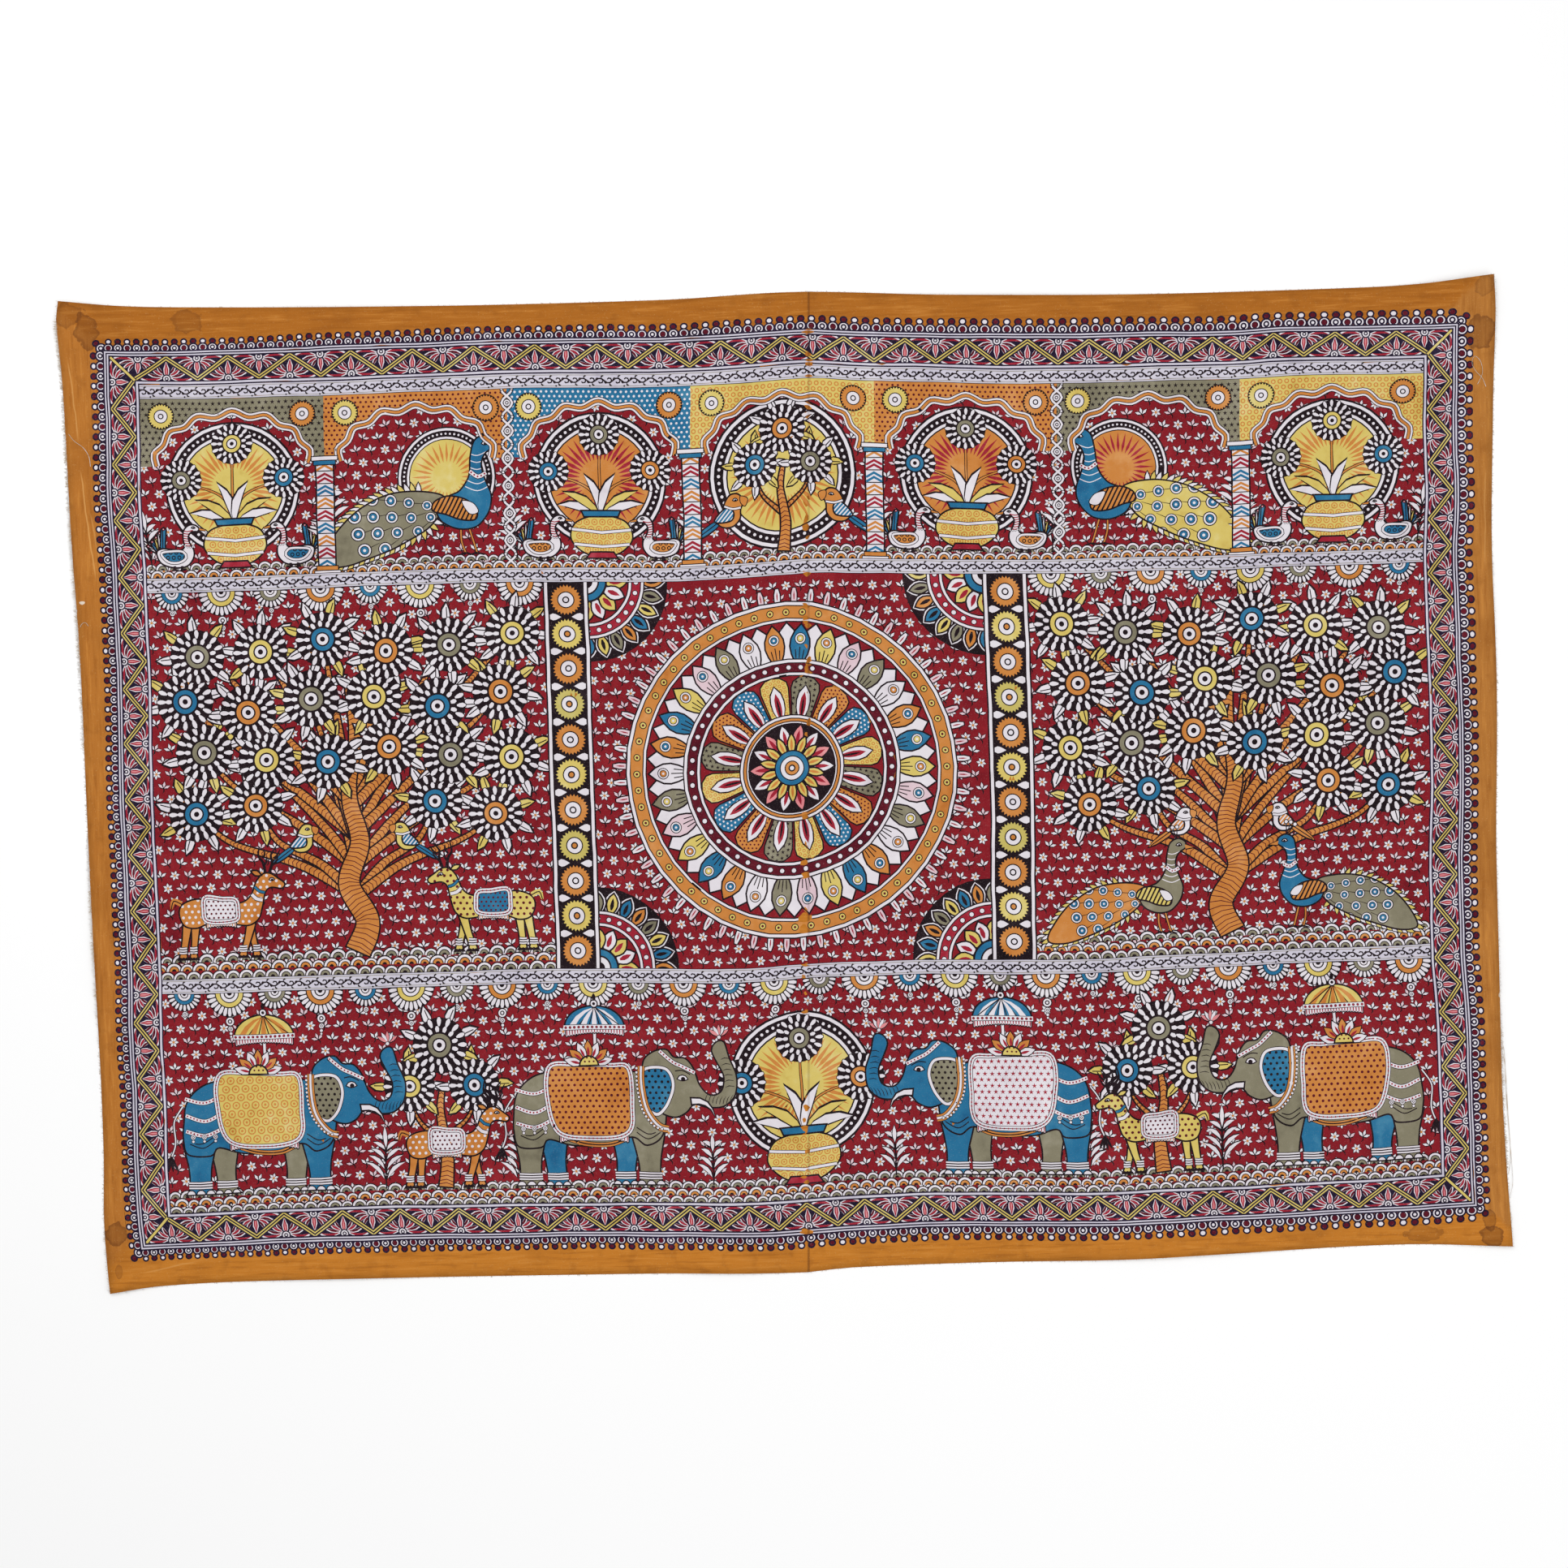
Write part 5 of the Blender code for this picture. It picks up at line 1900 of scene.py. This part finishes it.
def base_cloth(face, underside):
    """The whole cloth as a thin closed sheet: its face, its underside and the cut edge."""
    columns = base_shares(WIDTH, np.arange(-5, 6) * 0.0025 / WIDTH)
    rows = base_shares(HEIGHT)
    across, up = np.meshgrid(columns, rows)
    across = across + (fold_at(up) - 0.5) * (1 - np.abs(2 * across - 1))
    ground = sheet_point(across, up).ravel()
    foot = lift(across, up).ravel() + FOOT
    points = [np.stack([ground.real, ground.imag, foot + high], 1) for high in (0, THICKNESS)]
    count = len(ground)
    wide, tall = len(columns), len(rows)
    number = np.arange(count).reshape(tall, wide)
    a, b, c, d = number[:-1, :-1], number[:-1, 1:], number[1:, 1:], number[1:, :-1]
    quads = np.stack([a, b, c, d], 2).reshape(-1, 4)
    rim = np.concatenate([number[0, :-1], number[:-1, -1], number[-1, :0:-1], number[:0:-1, 0]])
    after = np.roll(rim, -1)
    edge = np.stack([rim, after, after + count, rim + count], 1)
    faces = np.concatenate([quads[:, ::-1], quads + count, edge])
    mesh = bpy.data.meshes.new("cloth_base")
    mesh.from_pydata(np.concatenate(points).tolist(), [], faces.tolist())
    mesh.materials.append(underside)
    mesh.materials.append(face)
    mesh.polygons.foreach_set("material_index", np.array([0] * len(quads) + [1] * (len(quads) + len(edge))))
    flat = np.stack([across.ravel(), up.ravel() * 0.49], 1)
    shares = np.concatenate([flat + (0, 0.51), flat])
    corners = np.empty(len(mesh.loops), int)
    mesh.loops.foreach_get("vertex_index", corners)
    mesh.uv_layers.new(name="OFBake").data.foreach_set("uv", shares[corners].ravel())
    mesh.update()
    mesh.shade_smooth()
    cloth = bpy.data.objects.new("cloth_base", mesh)
    bpy.context.scene.collection.objects.link(cloth)
    return cloth


def strand(points, radius, sides=3):
    """A thin round thread through points (x, y, z): (points, faces)."""
    points = np.asarray(points, float)
    ahead = np.gradient(points, axis=0)
    ahead /= np.maximum(np.linalg.norm(ahead, axis=1), 1e-9)[:, None]
    aside = np.cross(ahead, (0, 0, 1.0))
    aside /= np.maximum(np.linalg.norm(aside, axis=1), 1e-9)[:, None]
    above = np.cross(aside, ahead)
    ring = []
    for k in range(sides):
        turn = 2 * math.pi * k / sides
        ring.append(points + radius * (math.cos(turn) * aside + math.sin(turn) * above))
    count = len(points)
    faces = []
    for k in range(sides):
        first, second = k * count, (k + 1) % sides * count
        for i in range(count - 1):
            faces.append((first + i, first + i + 1, second + i + 1, second + i))
    return np.concatenate(ring), faces


# Where the cut edge is frayed: (edge, first share, last share, threads a metre, reach in metres)
Fray = namedtuple("Fray", "edge first last threads reach")
FRAYS = (
    Fray("left", 0.00, 1.00, 900, 0.0028),
    Fray("left", 0.55, 0.98, 2200, 0.0044),
    Fray("left", 0.28, 0.46, 2000, 0.0042),
    Fray("right", 0.00, 1.00, 700, 0.0022),
    Fray("right", 0.08, 0.24, 1500, 0.0036),
    Fray("top", 0.00, 1.00, 260, 0.0016),
    Fray("bottom", 0.00, 1.00, 300, 0.0018),
)
EDGES = {  # start, run and the way out, in shares
    "left": (0.0, 0.0, 0, 1, -1, 0),
    "right": (1.0, 0.0, 0, 1, 1, 0),
    "top": (0.0, 1.0, 1, 0, 0, 1),
    "bottom": (0.0, 0.0, 1, 0, 0, -1),
}


def joined(name, strands, material):
    points, faces, start = [], [], 0
    for own_points, own_faces in strands:
        points.append(own_points)
        faces += [tuple(start + i for i in face) for face in own_faces]
        start += len(own_points)
    mesh = bpy.data.meshes.new(name)
    mesh.from_pydata(np.concatenate(points).tolist(), [], faces)
    mesh.materials.append(material)
    mesh.shade_smooth()
    piece = bpy.data.objects.new(name, mesh)
    bpy.context.scene.collection.objects.link(piece)
    return piece


def frayed_edges(material):
    """Short ends of thread standing out of the cut edges."""
    chance = random.Random(7)
    strands = []
    for fray in FRAYS:
        x, y, run_x, run_y, out_x, out_y = EDGES[fray.edge]
        length = HEIGHT if fray.edge in ("left", "right") else WIDTH
        for _ in range(round((fray.last - fray.first) * length * fray.threads)):
            share = chance.uniform(fray.first, fray.last)
            across, up = np.array([x + run_x * share]), np.array([y + run_y * share])
            root = sheet_point(across, up)[0]
            z = lift(across, up)[0] + FOOT + THICKNESS * chance.uniform(0.6, 0.9)
            out = complex(out_x, out_y) * turned(chance.gauss(0, 28))
            reach = fray.reach * chance.uniform(0.3, 1.0) ** 1.5
            bend = chance.gauss(0, 0.3)
            line = []
            for t in (-0.25, 0.35, 1.0):
                place = root + out * reach * t * (1 + 1j * bend * t)
                line.append((place.real, place.imag, z + 0.0002 * abs(t) * chance.random()))
            strands.append(strand(line, 0.00018))
    return joined("edge_threads", strands, material)


# Long loose threads, as (x, y) in metres with the height over the cloth given by its lift
LONG_THREADS = (
    ((0.799, 0.423), (0.805, 0.436), (0.803, 0.449), (0.7965, 0.455), (0.7935, 0.447), (0.7975, 0.438),
     (0.8045, 0.430), (0.8085, 0.420)),
    ((-0.796, 0.196), (-0.799, 0.200), (-0.803, 0.199), (-0.8055, 0.195)),
    ((0.8020, -0.3290), (0.8052, -0.3420), (0.8063, -0.3900), (0.8088, -0.4400), (0.8106, -0.4860),
     (0.8070, -0.5040)),
    ((0.8030, -0.3400), (0.8058, -0.3600), (0.8078, -0.4150), (0.8092, -0.4600), (0.8060, -0.4800)),
    ((-0.8122, 0.4162), (-0.8060, 0.4080), (-0.7960, 0.4000), (-0.7900, 0.3900), (-0.7883, 0.3784)),
)


def long_threads(material):
    strands = []
    for corners in LONG_THREADS:
        line = smooth([complex(x, y) * 1000 for x, y in corners], 1.5, closed=False) / 1000
        across, up = shares_at(line)
        inside_it = (np.clip(across, 0, 1), np.clip(up, 0, 1))
        z = lift(*inside_it) + FOOT + THICKNESS + 0.0005
        strands.append(strand(np.stack([line.real, line.imag, z], 1), 0.00028, 4))
    return joined("loose_threads", strands, material)


# The camera, the light and the floor

CAMERA_OVER = (-0.0075, -0.0090)  # the middle of the photograph
CAMERA_HEIGHT = 2.490
CAMERA_TURN = -1.79
LENS = 50  # millimetres, on a sensor of the next width
SENSOR_WIDTH = 36
LIGHT_SIZE = 3.0
# (name, place, watts)
LIGHTS = (
    ("softbox", (-1.0, 1.6, 3.4), 84),
    ("fill", (1.8, -1.4, 3.0), 44),
)
SKY_STRENGTH = 0.485
FLOOR_REACH = 9
FLOOR_WHITE = 0.94
FLOOR_ROUGHNESS = 0.9


def make_camera():
    data = bpy.data.cameras.new("camera")
    data.lens = LENS
    data.sensor_width = SENSOR_WIDTH
    data.clip_end = 100
    camera = bpy.data.objects.new("camera", data)
    camera.location = (*CAMERA_OVER, CAMERA_HEIGHT)
    camera.rotation_euler = (0, 0, math.radians(CAMERA_TURN))
    bpy.context.scene.collection.objects.link(camera)
    bpy.context.scene.camera = camera


def area_light(name, place, watts):
    data = bpy.data.lights.new(name, "AREA")
    data.size = LIGHT_SIZE
    data.energy = watts
    light = bpy.data.objects.new(name, data)
    light.location = place
    light.rotation_euler = (-Vector(place)).to_track_quat("-Z", "Y").to_euler()
    bpy.context.scene.collection.objects.link(light)


def make_light():
    for name, place, watts in LIGHTS:
        area_light(name, place, watts)
    world = bpy.data.worlds.new("world")
    bpy.context.scene.world = world
    world.use_nodes = True
    world.node_tree.nodes["Background"].inputs["Color"].default_value = (1, 1, 1, 1)
    world.node_tree.nodes["Background"].inputs["Strength"].default_value = SKY_STRENGTH
    bpy.context.scene.view_settings.view_transform = "Standard"


def make_floor():
    mesh = bpy.data.meshes.new("floor")
    corners = [(x * FLOOR_REACH, y * FLOOR_REACH, 0) for x, y in ((-1, -1), (1, -1), (1, 1), (-1, 1))]
    mesh.from_pydata(corners, [], [(0, 1, 2, 3)])
    material = bpy.data.materials.new("pale_floor")
    material.use_nodes = True
    shader = material.node_tree.nodes["Principled BSDF"]
    shader.inputs["Base Color"].default_value = (FLOOR_WHITE, FLOOR_WHITE, FLOOR_WHITE, 1)
    shader.inputs["Roughness"].default_value = FLOOR_ROUGHNESS
    mesh.materials.append(material)
    floor = bpy.data.objects.new("floor", mesh)
    bpy.context.scene.collection.objects.link(floor)


def main():
    dyes = {name: dyed(name, dye) for name, dye in DYES.items()}
    base = base_cloth(margin(), back())
    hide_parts("cloth")
    drawing = drawn_face(dyes)
    loose = thread_look()
    threads = [frayed_edges(loose), long_threads(loose)]
    for piece in [base] + drawing + threads:
        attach(piece, "root")
    make_floor()
    make_light()
    make_camera()


main()
